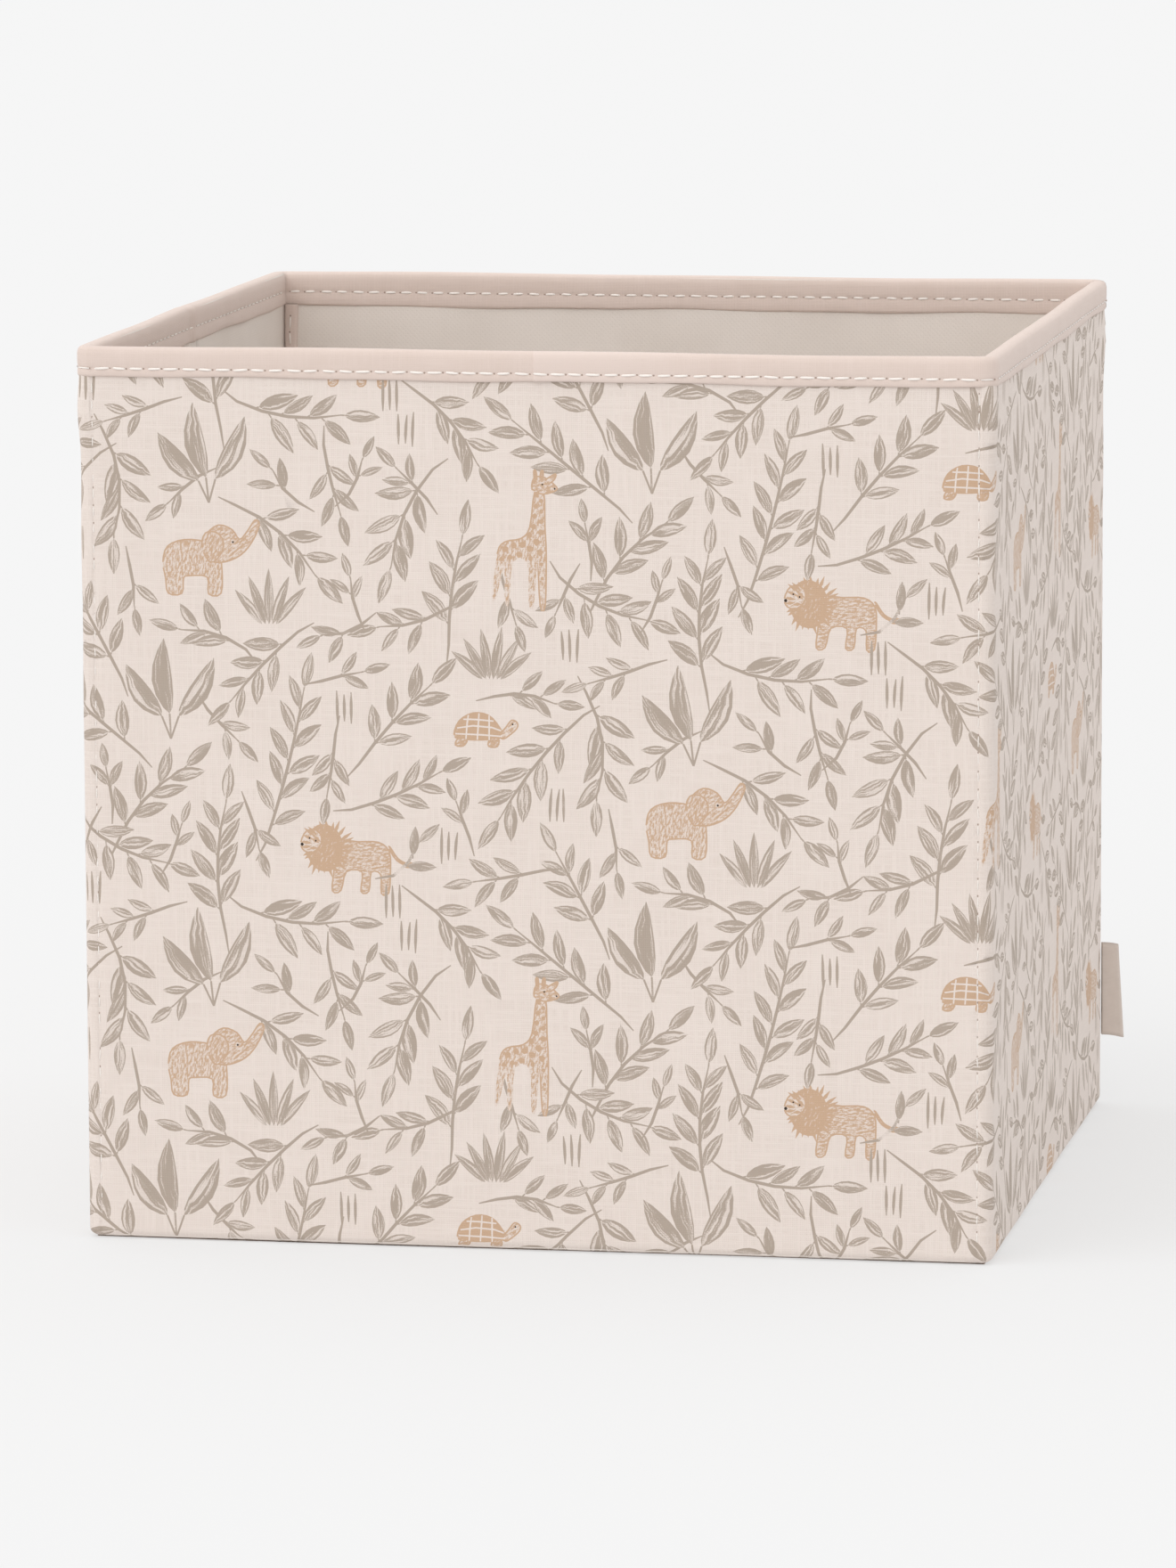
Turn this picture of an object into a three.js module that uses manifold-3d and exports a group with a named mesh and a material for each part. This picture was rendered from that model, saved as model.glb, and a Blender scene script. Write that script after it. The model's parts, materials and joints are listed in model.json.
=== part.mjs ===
// A square fold-flat fabric storage bin, in millimetres, +Z up.
//
// Origin: the middle of the underside, on the floor. The front faces -Y.
// Four stiffened walls stand on a sewn bottom. The front and back walls are
// whole. Each side wall is two half panels with a fold between them, so that
// pushing both side walls inwards brings the front wall up against the back.
// A loose base board lies on the bottom cloth and tips up about its rear edge.
//
// Every wall panel is the same sandwich, from the outside in: printed cover
// cloth, board, lining. A tape binds the rim, held by one row of stitching.

import * as THREE from "three";
import Module from "manifold-3d";
import { mergeVertices } from "three/addons/utils/BufferGeometryUtils.js";

const wasm = await Module();
wasm.setup();

// Driving dimensions.
const WIDTH = 290; // over the cover cloth, left to right
const DEPTH = 290; // over the cover cloth, front to back
const HEIGHT = 285; // floor to the top of the rim tape
const CORNER_RADIUS = 4; // cloth turned round a wall's end, seen from above

// Cloth and board thicknesses.
const COVER_THICK = 0.8;
const BOARD_THICK = 2;
const LINING_THICK = 0.6;
const TAPE_THICK = 0.5;
const SLEEVE_THICK = 0.4;
const LABEL_THICK = 0.5;
const BOTTOM_THICK = 0.8;
const THREAD_THICK = 0.3;
const THREAD_WIDTH = 0.6;
const LAYER_GAP = 0.3; // between two layers that lie on each other
const THREAD_GAP = 0.1; // between a row of stitching and the cloth it lies on
const WALL_THICK =
  COVER_THICK + LAYER_GAP + BOARD_THICK + LAYER_GAP + LINING_THICK;

// Heights.
const WALL_FOOT = 4; // the walls' lower edge, just above the base board
const WALL_TOP = HEIGHT - TAPE_THICK - LAYER_GAP;
const TAPE_OUTSIDE = 9.5; // how far the rim tape reaches down the outside
const TAPE_INSIDE = 12; // and down the inside
const RIM_STITCH_Z = HEIGHT - 7.2;
const SEAM_STITCH_IN = 4.7; // a corner's row of stitching, in from the corner
const SEAM_STITCH_LOW = 7;

// Where the panels meet.
const CORNER_GAP = 0.5; // between a side panel's end and the wall it meets
const FOLD_GAP = 2; // between the two halves of a side wall, at the fold
const FOLD_Y = -1.5; // the fold lies this far from the side wall's middle
const TAPE_CORNER_IN = 1.5; // the inner tape stops this short of the side wall

// The loose base board, in its sleeve.
const BASE_UNDER = BOTTOM_THICK + 0.2;
const BASE_THICK = 2.7;
const BASE_HALF_WIDTH = 139;
const BASE_FRONT_Y = -139;
const BASE_REAR_Y = 136.65;
const SLEEVE_GAP = 0.2;

// The sewn roll of seam allowances that the walls stand on.
const SEAM_ROLL_WIDTH = 3.4;
const SEAM_ROLL_TOP = WALL_FOOT - LAYER_GAP;

// The tape that binds each upright seam inside the bin.
const CORNER_TAPE_WIDTH = 4;
const CORNER_TAPE_THICK = 0.6;
const CORNER_TAPE_IN = 5.6; // from the side wall's outer face

// The folded label in the seam at the rear right corner.
const LABEL_LOW = 24;
const LABEL_HIGH = 56;
const LABEL_REACH = 7.6;
const LABEL_OPENING = 1.6; // between its two leaves, at the seam
const LABEL_BACK = 5; // how far from the back face the label leaves the corner
const LABEL_TURN = THREE.MathUtils.degToRad(32); // towards the rear

const ARC_STEPS = 6;

const PRINTED_COTTON = [0xe9dcd3, 0.92];
const NON_WOVEN = [0xd3c8bf, 0.95];
const TAPE_COTTON = [0xead9cd, 0.85];
const GREY_BOARD = [0xa89b8a, 0.9];
const LABEL_SATIN = [0xd9d4d0, 0.55];
const THREAD = [0xf4ebe4, 0.6];

const bin = new THREE.Group();

/** A material of one colour and roughness. */
function finish([color, roughness]) {
  return new THREE.MeshStandardMaterial({ color, roughness, metalness: 0 });
}

/** Adds a named mesh to a group and returns it. */
function piece(name, geometry, look, group = bin) {
  const mesh = new THREE.Mesh(geometry, finish(look));
  mesh.name = name;
  group.add(mesh);
  return mesh;
}

/** A closed geometry as a manifold solid. */
function solid(geometry) {
  const bare = geometry.clone();
  bare.deleteAttribute("normal");
  bare.deleteAttribute("uv");
  const merged = mergeVertices(bare, 1e-4);
  return new wasm.Manifold(
    new wasm.Mesh({
      numProp: 3,
      vertProperties: merged.attributes.position.array,
      triVerts: new Uint32Array(merged.index.array),
    }),
  );
}

/** A manifold solid as a geometry. */
function geometryOf(made) {
  const mesh = made.getMesh();
  const geometry = new THREE.BufferGeometry();
  geometry.setAttribute(
    "position",
    new THREE.BufferAttribute(mesh.vertProperties, mesh.numProp),
  );
  geometry.setIndex(new THREE.BufferAttribute(mesh.triVerts, 1));
  geometry.computeVertexNormals();
  return geometry;
}

/** Joins overlapping geometries into one closed body. */
function joined(...geometries) {
  return geometryOf(geometries.map(solid).reduce((a, b) => a.add(b)));
}

/** Cuts the second geometry out of the first. */
function cut(body, tool) {
  return geometryOf(solid(body).subtract(solid(tool)));
}

/** A box between two corners. */
function block([x0, y0, z0], [x1, y1, z1]) {
  const box = new THREE.BoxGeometry(x1 - x0, y1 - y0, z1 - z0);
  return box.translate((x0 + x1) / 2, (y0 + y1) / 2, (z0 + z1) / 2);
}

/** A flat shape in plan, raised from one height to another. */
function raised(shape, low, high) {
  const made = new THREE.ExtrudeGeometry(shape, {
    depth: high - low,
    bevelEnabled: false,
    curveSegments: ARC_STEPS,
  });
  return made.translate(0, 0, low);
}

/**
 * Cloth that lies along a whole wall and turns round both of its ends, in
 * plan. The wall's outer face is y = 0, and its inside is towards +y.
 * stand is how far the cloth's outer face stands off the wall, and thick is
 * the cloth's own thickness. It ends level with the wall's inner face.
 */
function wrappedCloth(halfWidth, stand, thick) {
  const shape = new THREE.Shape();
  const [xo, xi] = [halfWidth + stand, halfWidth + stand - thick];
  const [ro, ri] = [CORNER_RADIUS + stand, CORNER_RADIUS + stand - thick];
  const cx = halfWidth - CORNER_RADIUS;
  shape.moveTo(-xo, WALL_THICK);
  shape.lineTo(-xo, CORNER_RADIUS);
  shape.absarc(-cx, CORNER_RADIUS, ro, Math.PI, 1.5 * Math.PI, false);
  shape.lineTo(cx, -stand);
  shape.absarc(cx, CORNER_RADIUS, ro, 1.5 * Math.PI, 2 * Math.PI, false);
  shape.lineTo(xo, WALL_THICK);
  shape.lineTo(xi, WALL_THICK);
  shape.lineTo(xi, CORNER_RADIUS);
  shape.absarc(cx, CORNER_RADIUS, ri, 2 * Math.PI, 1.5 * Math.PI, true);
  shape.lineTo(-cx, thick - stand);
  shape.absarc(-cx, CORNER_RADIUS, ri, 1.5 * Math.PI, Math.PI, true);
  shape.lineTo(-xi, WALL_THICK);
  return shape;
}

// Depths of the layers behind a wall's outer face.
const BOARD_AT = COVER_THICK + LAYER_GAP;
const LINING_AT = BOARD_AT + BOARD_THICK + LAYER_GAP;
const TAPE_STAND = LAYER_GAP + TAPE_THICK;
const TAPE_INNER_AT = WALL_THICK + LAYER_GAP;
const TAPE_INNER_END = TAPE_INNER_AT + TAPE_THICK;

/** The row of stitching along the rim tape's outside. */
function rimStitching(name, u0, u1, group) {
  const face = -TAPE_STAND - THREAD_GAP;
  const row = block(
    [u0, face - THREAD_THICK, RIM_STITCH_Z - THREAD_WIDTH / 2],
    [u1, face, RIM_STITCH_Z + THREAD_WIDTH / 2],
  );
  piece(`${name}_rim_stitching`, row, THREAD, group);
}

/** The board and lining between u0 and u1, which every panel has. */
function boardAndLining(name, u0, u1, group) {
  const board = block(
    [u0, BOARD_AT, WALL_FOOT],
    [u1, BOARD_AT + BOARD_THICK, WALL_TOP],
  );
  const lining = block([u0, LINING_AT, WALL_FOOT], [u1, WALL_THICK, WALL_TOP]);
  piece(`${name}_board`, board, GREY_BOARD, group);
  piece(`${name}_lining`, lining, NON_WOVEN, group);
}

/**
 * A whole wall: the front or the back. leftSign is the sign of u, along the
 * wall, at the bin's left hand.
 */
function wholeWall(name, leftSign, group) {
  const half = WIDTH / 2;
  const cover = raised(
    wrappedCloth(half, 0, COVER_THICK),
    WALL_FOOT,
    WALL_TOP,
  );
  piece(`${name}_cover`, cover, PRINTED_COTTON, group);
  const flat = half - CORNER_RADIUS;
  boardAndLining(name, -flat, flat, group);

  const outside = raised(
    wrappedCloth(half, TAPE_STAND, TAPE_THICK),
    HEIGHT - TAPE_OUTSIDE,
    HEIGHT,
  );
  const reach = half - WALL_THICK - TAPE_CORNER_IN;
  const web = block(
    [-reach, -TAPE_STAND, HEIGHT - TAPE_THICK],
    [reach, TAPE_INNER_END, HEIGHT],
  );
  const ends = block(
    [-half - TAPE_STAND / 2, CORNER_RADIUS / 4, HEIGHT - TAPE_THICK],
    [half + TAPE_STAND / 2, WALL_THICK, HEIGHT],
  );
  const inside = block(
    [-reach, TAPE_INNER_AT, HEIGHT - TAPE_INSIDE],
    [reach, TAPE_INNER_END, HEIGHT],
  );
  const tape = joined(outside, web, ends, inside);
  piece(`${name}_rim_tape`, tape, TAPE_COTTON, group);
  rimStitching(name, -flat, flat, group);
  seamAt(`${name}_left`, leftSign, group);
  seamAt(`${name}_right`, -leftSign, group);
}

/**
 * What holds a whole wall to the side wall at one end (sign -1 or 1): a row of
 * stitching outside, and the tape that binds the seam inside.
 */
function seamAt(name, sign, group) {
  const u = sign * (WIDTH / 2 - SEAM_STITCH_IN);
  const row = block(
    [u - THREAD_WIDTH / 2, -THREAD_GAP - THREAD_THICK, SEAM_STITCH_LOW],
    [u + THREAD_WIDTH / 2, -THREAD_GAP, HEIGHT - TAPE_OUTSIDE - 1],
  );
  piece(`${name}_seam_stitching`, row, THREAD, group);
  const middle = sign * (WIDTH / 2 - CORNER_TAPE_IN - CORNER_TAPE_WIDTH / 2);
  const tape = block(
    [middle - CORNER_TAPE_WIDTH / 2, TAPE_INNER_AT, WALL_FOOT + 1],
    [
      middle + CORNER_TAPE_WIDTH / 2,
      TAPE_INNER_AT + CORNER_TAPE_THICK,
      HEIGHT - TAPE_INSIDE - 0.5,
    ],
  );
  piece(`${name}_corner_tape`, tape, TAPE_COTTON, group);
}

/** A length of the rim tape, folded over the wall's top from u0 to u1. */
function tapeLength(u0, u1) {
  const [outer, inner] = [-TAPE_STAND, TAPE_INNER_END];
  const section = new THREE.Shape(
    [
      [outer, HEIGHT - TAPE_OUTSIDE],
      [outer + TAPE_THICK, HEIGHT - TAPE_OUTSIDE],
      [outer + TAPE_THICK, HEIGHT - TAPE_THICK],
      [inner - TAPE_THICK, HEIGHT - TAPE_THICK],
      [inner - TAPE_THICK, HEIGHT - TAPE_INSIDE],
      [inner, HEIGHT - TAPE_INSIDE],
      [inner, HEIGHT],
      [outer, HEIGHT],
    ].map(([y, z]) => new THREE.Vector2(y, z)),
  );
  const made = new THREE.ExtrudeGeometry(section, {
    depth: u1 - u0,
    bevelEnabled: false,
  });
  const alongWall = new THREE.Matrix4().makeBasis(
    new THREE.Vector3(0, 1, 0),
    new THREE.Vector3(0, 0, 1),
    new THREE.Vector3(1, 0, 0),
  );
  return made.applyMatrix4(alongWall).translate(u0, 0, 0);
}

/** Half of a side wall, from u0 to u1 along the wall. */
function halfWall(name, u0, u1, group) {
  const cover = block([u0, 0, WALL_FOOT], [u1, COVER_THICK, WALL_TOP]);
  piece(`${name}_cover`, cover, PRINTED_COTTON, group);
  boardAndLining(name, u0, u1, group);
  piece(`${name}_rim_tape`, tapeLength(u0, u1), TAPE_COTTON, group);
  rimStitching(name, u0, u1, group);
}

/** A group whose local y = 0 is a wall's outer face, turned to face outwards. */
function wallFrame(turn, distance) {
  const frame = new THREE.Group();
  frame.rotation.z = turn;
  frame.position.set(distance * Math.sin(turn), -distance * Math.cos(turn), 0);
  bin.add(frame);
  return frame;
}

/** The four walls. */
function walls() {
  wholeWall("front", -1, wallFrame(0, DEPTH / 2));
  wholeWall("back", 1, wallFrame(Math.PI, DEPTH / 2));
  const end = DEPTH / 2 - WALL_THICK - CORNER_GAP;
  const [foldFront, foldRear] = [FOLD_Y - FOLD_GAP / 2, FOLD_Y + FOLD_GAP / 2];
  const right = wallFrame(Math.PI / 2, WIDTH / 2);
  halfWall("right_front", -end, foldFront, right);
  halfWall("right_rear", foldRear, end, right);
  const left = wallFrame(-Math.PI / 2, WIDTH / 2);
  halfWall("left_rear", -end, -foldRear, left);
  halfWall("left_front", -foldFront, end, left);
}

/** A rounded rectangle in plan, centred on the origin. */
function roundedPlan(width, depth, radius) {
  const [x, y] = [width / 2 - radius, depth / 2 - radius];
  const shape = new THREE.Shape();
  shape.moveTo(-x, -y - radius);
  shape.lineTo(x, -y - radius);
  shape.absarc(x, -y, radius, -Math.PI / 2, 0, false);
  shape.lineTo(x + radius, y);
  shape.absarc(x, y, radius, 0, Math.PI / 2, false);
  shape.lineTo(-x, y + radius);
  shape.absarc(-x, y, radius, Math.PI / 2, Math.PI, false);
  shape.lineTo(-x - radius, -y);
  shape.absarc(-x, -y, radius, Math.PI, 1.5 * Math.PI, false);
  return shape;
}

/** The bottom cloth, and the roll of seam allowances round its edge. */
function bottom() {
  const sheet = raised(roundedPlan(WIDTH, DEPTH, CORNER_RADIUS), 0, BOTTOM_THICK);
  piece("bottom_cloth", sheet, PRINTED_COTTON);
  const low = BOTTOM_THICK + THREAD_GAP;
  const ring = raised(roundedPlan(WIDTH, DEPTH, CORNER_RADIUS), low, SEAM_ROLL_TOP);
  const hole = raised(
    roundedPlan(WIDTH - 2 * SEAM_ROLL_WIDTH, DEPTH - 2 * SEAM_ROLL_WIDTH, 1),
    low - 1,
    SEAM_ROLL_TOP + 1,
  );
  piece("bottom_seam", cut(ring, hole), NON_WOVEN);
}

/** The base board in its non-woven sleeve, which is open along its rear edge. */
function baseBoard() {
  const top = BASE_UNDER + BASE_THICK;
  const sleeve = block(
    [-BASE_HALF_WIDTH, BASE_FRONT_Y, BASE_UNDER],
    [BASE_HALF_WIDTH, BASE_REAR_Y, top],
  );
  const pocket = block(
    [
      SLEEVE_THICK - BASE_HALF_WIDTH,
      BASE_FRONT_Y + SLEEVE_THICK,
      BASE_UNDER + SLEEVE_THICK,
    ],
    [BASE_HALF_WIDTH - SLEEVE_THICK, BASE_REAR_Y + 1, top - SLEEVE_THICK],
  );
  piece("base_board_sleeve", cut(sleeve, pocket), NON_WOVEN);
  const inset = SLEEVE_THICK + SLEEVE_GAP;
  const board = block(
    [inset - BASE_HALF_WIDTH, BASE_FRONT_Y + inset, BASE_UNDER + inset],
    [BASE_HALF_WIDTH - inset, BASE_REAR_Y - inset, top - inset],
  );
  piece("base_board", board, GREY_BOARD);
}

/** A ribbon folded in two, its ends caught in the rear right corner seam. */
function sideLabel() {
  const width = LABEL_OPENING + 2 * LABEL_THICK;
  const outline = new THREE.Shape();
  const [half, tip] = [width / 2, LABEL_REACH - width / 2];
  outline.moveTo(0, -half);
  outline.lineTo(tip, -half);
  outline.absarc(tip, 0, half, -Math.PI / 2, Math.PI / 2, false);
  outline.lineTo(0, half);
  outline.lineTo(0, half - LABEL_THICK);
  outline.lineTo(tip, half - LABEL_THICK);
  outline.absarc(tip, 0, half - LABEL_THICK, Math.PI / 2, -Math.PI / 2, true);
  outline.lineTo(0, LABEL_THICK - half);
  const label = piece(
    "side_label",
    raised(outline, LABEL_LOW, LABEL_HIGH),
    LABEL_SATIN,
  );
  label.position.set(WIDTH / 2 + LAYER_GAP + 0.2, DEPTH / 2 - LABEL_BACK + 2.4, 0);
  label.rotation.z = LABEL_TURN;
}

walls();
bottom();
baseBoard();
sideLabel();

export default bin;
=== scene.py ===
"""A square fabric storage bin of printed cotton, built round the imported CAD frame.

Every length below is in millimetres until a mesh is made. A point on a wall is
(wall, u, z, d): u runs along the wall to the right, seen from outside, z is the
height, and d is the depth behind the cover's outer face. A distance s round the bin
starts at the middle of the front and goes to the right, seen from outside.
"""

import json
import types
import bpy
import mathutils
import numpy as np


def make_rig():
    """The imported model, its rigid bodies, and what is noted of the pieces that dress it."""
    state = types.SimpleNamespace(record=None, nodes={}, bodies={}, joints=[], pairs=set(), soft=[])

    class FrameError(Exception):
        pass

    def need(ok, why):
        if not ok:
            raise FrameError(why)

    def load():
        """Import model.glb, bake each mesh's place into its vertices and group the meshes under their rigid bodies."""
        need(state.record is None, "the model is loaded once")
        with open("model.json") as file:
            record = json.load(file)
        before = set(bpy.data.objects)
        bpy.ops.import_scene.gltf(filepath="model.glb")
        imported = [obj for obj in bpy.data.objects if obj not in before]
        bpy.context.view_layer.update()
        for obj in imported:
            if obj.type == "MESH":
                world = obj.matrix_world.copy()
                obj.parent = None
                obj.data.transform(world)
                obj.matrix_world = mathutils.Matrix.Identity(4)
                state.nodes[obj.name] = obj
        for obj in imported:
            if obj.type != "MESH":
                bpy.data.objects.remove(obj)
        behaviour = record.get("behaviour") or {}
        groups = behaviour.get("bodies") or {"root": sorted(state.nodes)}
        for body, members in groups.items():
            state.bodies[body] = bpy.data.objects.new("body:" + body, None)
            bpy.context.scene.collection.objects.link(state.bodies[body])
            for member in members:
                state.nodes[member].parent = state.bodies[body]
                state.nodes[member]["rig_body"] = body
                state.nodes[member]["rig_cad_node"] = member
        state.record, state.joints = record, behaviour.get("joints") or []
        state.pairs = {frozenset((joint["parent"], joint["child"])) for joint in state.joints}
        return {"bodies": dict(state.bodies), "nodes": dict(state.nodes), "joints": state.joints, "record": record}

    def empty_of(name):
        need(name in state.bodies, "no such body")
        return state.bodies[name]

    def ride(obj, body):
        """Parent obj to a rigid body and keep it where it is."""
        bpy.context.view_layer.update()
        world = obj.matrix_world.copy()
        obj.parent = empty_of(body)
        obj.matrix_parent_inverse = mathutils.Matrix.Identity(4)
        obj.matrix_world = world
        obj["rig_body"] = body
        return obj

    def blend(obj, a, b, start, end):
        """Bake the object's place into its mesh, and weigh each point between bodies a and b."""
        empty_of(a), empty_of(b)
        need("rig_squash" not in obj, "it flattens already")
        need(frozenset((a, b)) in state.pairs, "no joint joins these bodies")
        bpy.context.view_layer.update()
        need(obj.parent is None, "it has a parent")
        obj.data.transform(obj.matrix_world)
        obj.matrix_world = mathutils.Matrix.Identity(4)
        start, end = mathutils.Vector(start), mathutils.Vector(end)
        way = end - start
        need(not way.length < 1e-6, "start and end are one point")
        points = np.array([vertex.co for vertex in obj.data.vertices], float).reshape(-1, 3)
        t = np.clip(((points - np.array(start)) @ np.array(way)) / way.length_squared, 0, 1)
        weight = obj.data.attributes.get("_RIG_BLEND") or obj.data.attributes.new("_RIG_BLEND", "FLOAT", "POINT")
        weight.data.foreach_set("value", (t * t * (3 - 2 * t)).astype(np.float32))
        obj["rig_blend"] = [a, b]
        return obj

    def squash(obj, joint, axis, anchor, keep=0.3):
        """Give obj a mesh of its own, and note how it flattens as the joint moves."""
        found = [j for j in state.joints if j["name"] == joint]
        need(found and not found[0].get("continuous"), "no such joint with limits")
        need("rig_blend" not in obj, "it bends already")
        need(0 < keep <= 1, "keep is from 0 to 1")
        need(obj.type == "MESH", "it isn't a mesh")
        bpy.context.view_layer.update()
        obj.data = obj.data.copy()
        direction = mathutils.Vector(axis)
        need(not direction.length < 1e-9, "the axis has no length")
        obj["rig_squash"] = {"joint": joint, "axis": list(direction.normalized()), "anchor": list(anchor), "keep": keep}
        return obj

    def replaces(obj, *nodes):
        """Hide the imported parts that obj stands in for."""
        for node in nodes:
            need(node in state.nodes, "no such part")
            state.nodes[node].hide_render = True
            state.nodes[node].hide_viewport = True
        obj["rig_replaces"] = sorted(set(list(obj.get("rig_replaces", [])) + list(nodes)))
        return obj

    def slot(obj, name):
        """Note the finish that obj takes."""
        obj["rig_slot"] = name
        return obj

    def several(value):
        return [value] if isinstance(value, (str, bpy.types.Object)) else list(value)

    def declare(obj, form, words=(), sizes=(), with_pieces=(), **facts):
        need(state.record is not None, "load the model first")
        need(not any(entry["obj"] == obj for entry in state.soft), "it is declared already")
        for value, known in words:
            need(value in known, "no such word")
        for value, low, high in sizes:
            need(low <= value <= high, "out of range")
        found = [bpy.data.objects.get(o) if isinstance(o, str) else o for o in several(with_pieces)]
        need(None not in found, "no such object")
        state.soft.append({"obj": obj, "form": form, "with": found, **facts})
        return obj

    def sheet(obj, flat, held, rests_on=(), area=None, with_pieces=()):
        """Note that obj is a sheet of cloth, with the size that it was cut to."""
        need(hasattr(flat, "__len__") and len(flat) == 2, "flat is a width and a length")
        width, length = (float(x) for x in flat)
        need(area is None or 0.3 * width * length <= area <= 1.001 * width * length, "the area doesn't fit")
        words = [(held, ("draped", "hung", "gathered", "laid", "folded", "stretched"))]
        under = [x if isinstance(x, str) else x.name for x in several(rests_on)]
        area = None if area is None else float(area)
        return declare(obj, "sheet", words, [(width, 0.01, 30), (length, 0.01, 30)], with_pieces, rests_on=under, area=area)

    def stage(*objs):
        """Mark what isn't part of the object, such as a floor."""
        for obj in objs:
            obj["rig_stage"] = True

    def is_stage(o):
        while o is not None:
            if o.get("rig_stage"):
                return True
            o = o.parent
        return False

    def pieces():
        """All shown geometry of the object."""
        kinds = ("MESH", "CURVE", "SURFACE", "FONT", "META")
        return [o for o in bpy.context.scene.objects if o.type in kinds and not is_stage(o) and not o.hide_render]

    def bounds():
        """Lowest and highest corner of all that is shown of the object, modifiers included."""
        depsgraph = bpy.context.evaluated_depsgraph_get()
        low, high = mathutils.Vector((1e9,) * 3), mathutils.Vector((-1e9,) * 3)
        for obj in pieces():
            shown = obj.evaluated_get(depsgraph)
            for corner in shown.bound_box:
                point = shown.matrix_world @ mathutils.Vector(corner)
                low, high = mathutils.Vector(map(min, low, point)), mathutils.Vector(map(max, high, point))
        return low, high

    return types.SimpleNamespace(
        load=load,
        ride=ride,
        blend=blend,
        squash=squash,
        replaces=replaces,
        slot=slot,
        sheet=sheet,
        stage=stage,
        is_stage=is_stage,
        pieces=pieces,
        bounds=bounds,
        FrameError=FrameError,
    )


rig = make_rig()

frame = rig.load()
CAD_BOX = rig.bounds()

import json
import logging
import math
import random
from dataclasses import dataclass, field
from enum import Enum
from functools import cached_property
from typing import Callable, Iterable, Sequence

import bpy
from mathutils import Matrix, Vector
from mathutils.geometry import delaunay_2d_cdt

LOG = logging.getLogger("fabric_bin")
SIZE_FILE = "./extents.json"

MM = 0.001
HALF = 145.0  # from the middle to a wall's outer face
HEIGHT = 285.0  # to the top of the rim
COVER_TURN = 4.0  # radius of the cover at an upright corner
TAPE_TURN = 5.3  # radius of the bulkier rim tape there
FOOT_TURN = 3.0  # radius of the cover at the bottom edge
FOOT_LOW = 0.5  # height of the turned edge, which rests on the bottom cloth
SIDE_REACH = HALF - COVER_TURN  # half length of a wall's flat part
FOLD_Y = -1.5  # where the side walls fold
FOLD_HALF = 5.0  # half width of the soft cloth at a fold
TAPE_LOW = 275.5  # lower edge of the rim tape outside
STITCH_PITCH = 5.6
DETAIL_WIDTH = 40.0  # a strip narrower than this bends, so its mesh is finer

Point2 = tuple[float, float]
Point3 = tuple[float, float, float]
Surface = Callable[[float, float], Point3]
Sheet = tuple[bpy.types.Object, str, float, list[bpy.types.Object]]


def side_run(turn: float) -> float:
    """Length of cloth from one wall's start to the next, for a corner radius."""
    return 2 * (HALF - turn) + turn * math.pi / 2


SIDE_LENGTH = side_run(COVER_TURN)


class Wall(Enum):
    """The four walls, in order round the bin to the right."""

    FRONT = 0
    RIGHT = 1
    BACK = 2
    LEFT = 3

    @property
    def along(self) -> Point2:
        """Unit vector along the wall, to the right seen from outside."""
        return ((1, 0), (0, 1), (-1, 0), (0, -1))[self.value]

    @property
    def outward(self) -> Point2:
        """Unit vector out of the wall."""
        return ((0, -1), (1, 0), (0, 1), (-1, 0))[self.value]

    def point(self, u: float, out: float, z: float) -> Point3:
        """A point by its place along the wall, its distance outwards and its height."""
        (ax, ay), (nx, ny) = self.along, self.outward
        return (ax * u + nx * out, ay * u + ny * out, z)

    def u_of_y(self, y: float) -> float:
        """Position along a side wall of a point at this y."""
        return y if self is Wall.RIGHT else -y


# ---- colours


def linear(code: str) -> tuple[float, float, float, float]:
    """Turns an sRGB hex colour into linear light.

    Args:
        code: Six hex digits, such as "eadcd3".

    Returns:
        Red, green, blue and an alpha of 1.
    """
    parts = [int(code[i : i + 2], 16) / 255 for i in (0, 2, 4)]
    low = [c / 12.92 if c <= 0.04045 else ((c + 0.055) / 1.055) ** 2.4 for c in parts]
    return (low[0], low[1], low[2], 1.0)


def add(
    tree: bpy.types.NodeTree,
    kind: str,
    settings: dict[str, object] | str | None = None,
    *inputs: object,
    **links: object,
) -> bpy.types.Node:
    """Adds a shader node with its settings and inputs.

    Args:
        tree: The node tree to add to.
        kind: The node's type, without the ShaderNode prefix.
        settings: Attributes of the node itself, or just its operation.
        *inputs: The first inputs, in order. Each is a constant, a socket to
            link, or a node, whose first output is linked.
        **links: More inputs by name, with spaces as underscores, or by index
            as i0, i1 and so on.

    Returns:
        The new node.
    """
    node = tree.nodes.new("ShaderNode" + kind)
    if isinstance(settings, str):
        settings = {"operation": settings}
    for name, value in (settings or {}).items():
        setattr(node, name, value)
    for name, value in [*enumerate(inputs), *links.items()]:
        if isinstance(name, str):
            indexed = name[0] == "i" and name[1:].isdigit()
            name = int(name[1:]) if indexed else name.replace("_", " ")
        if isinstance(value, bpy.types.Node):
            value = value.outputs[0]
        if isinstance(value, bpy.types.NodeSocket):
            tree.links.new(value, node.inputs[name])
        else:
            node.inputs[name].default_value = value
    return node


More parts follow.
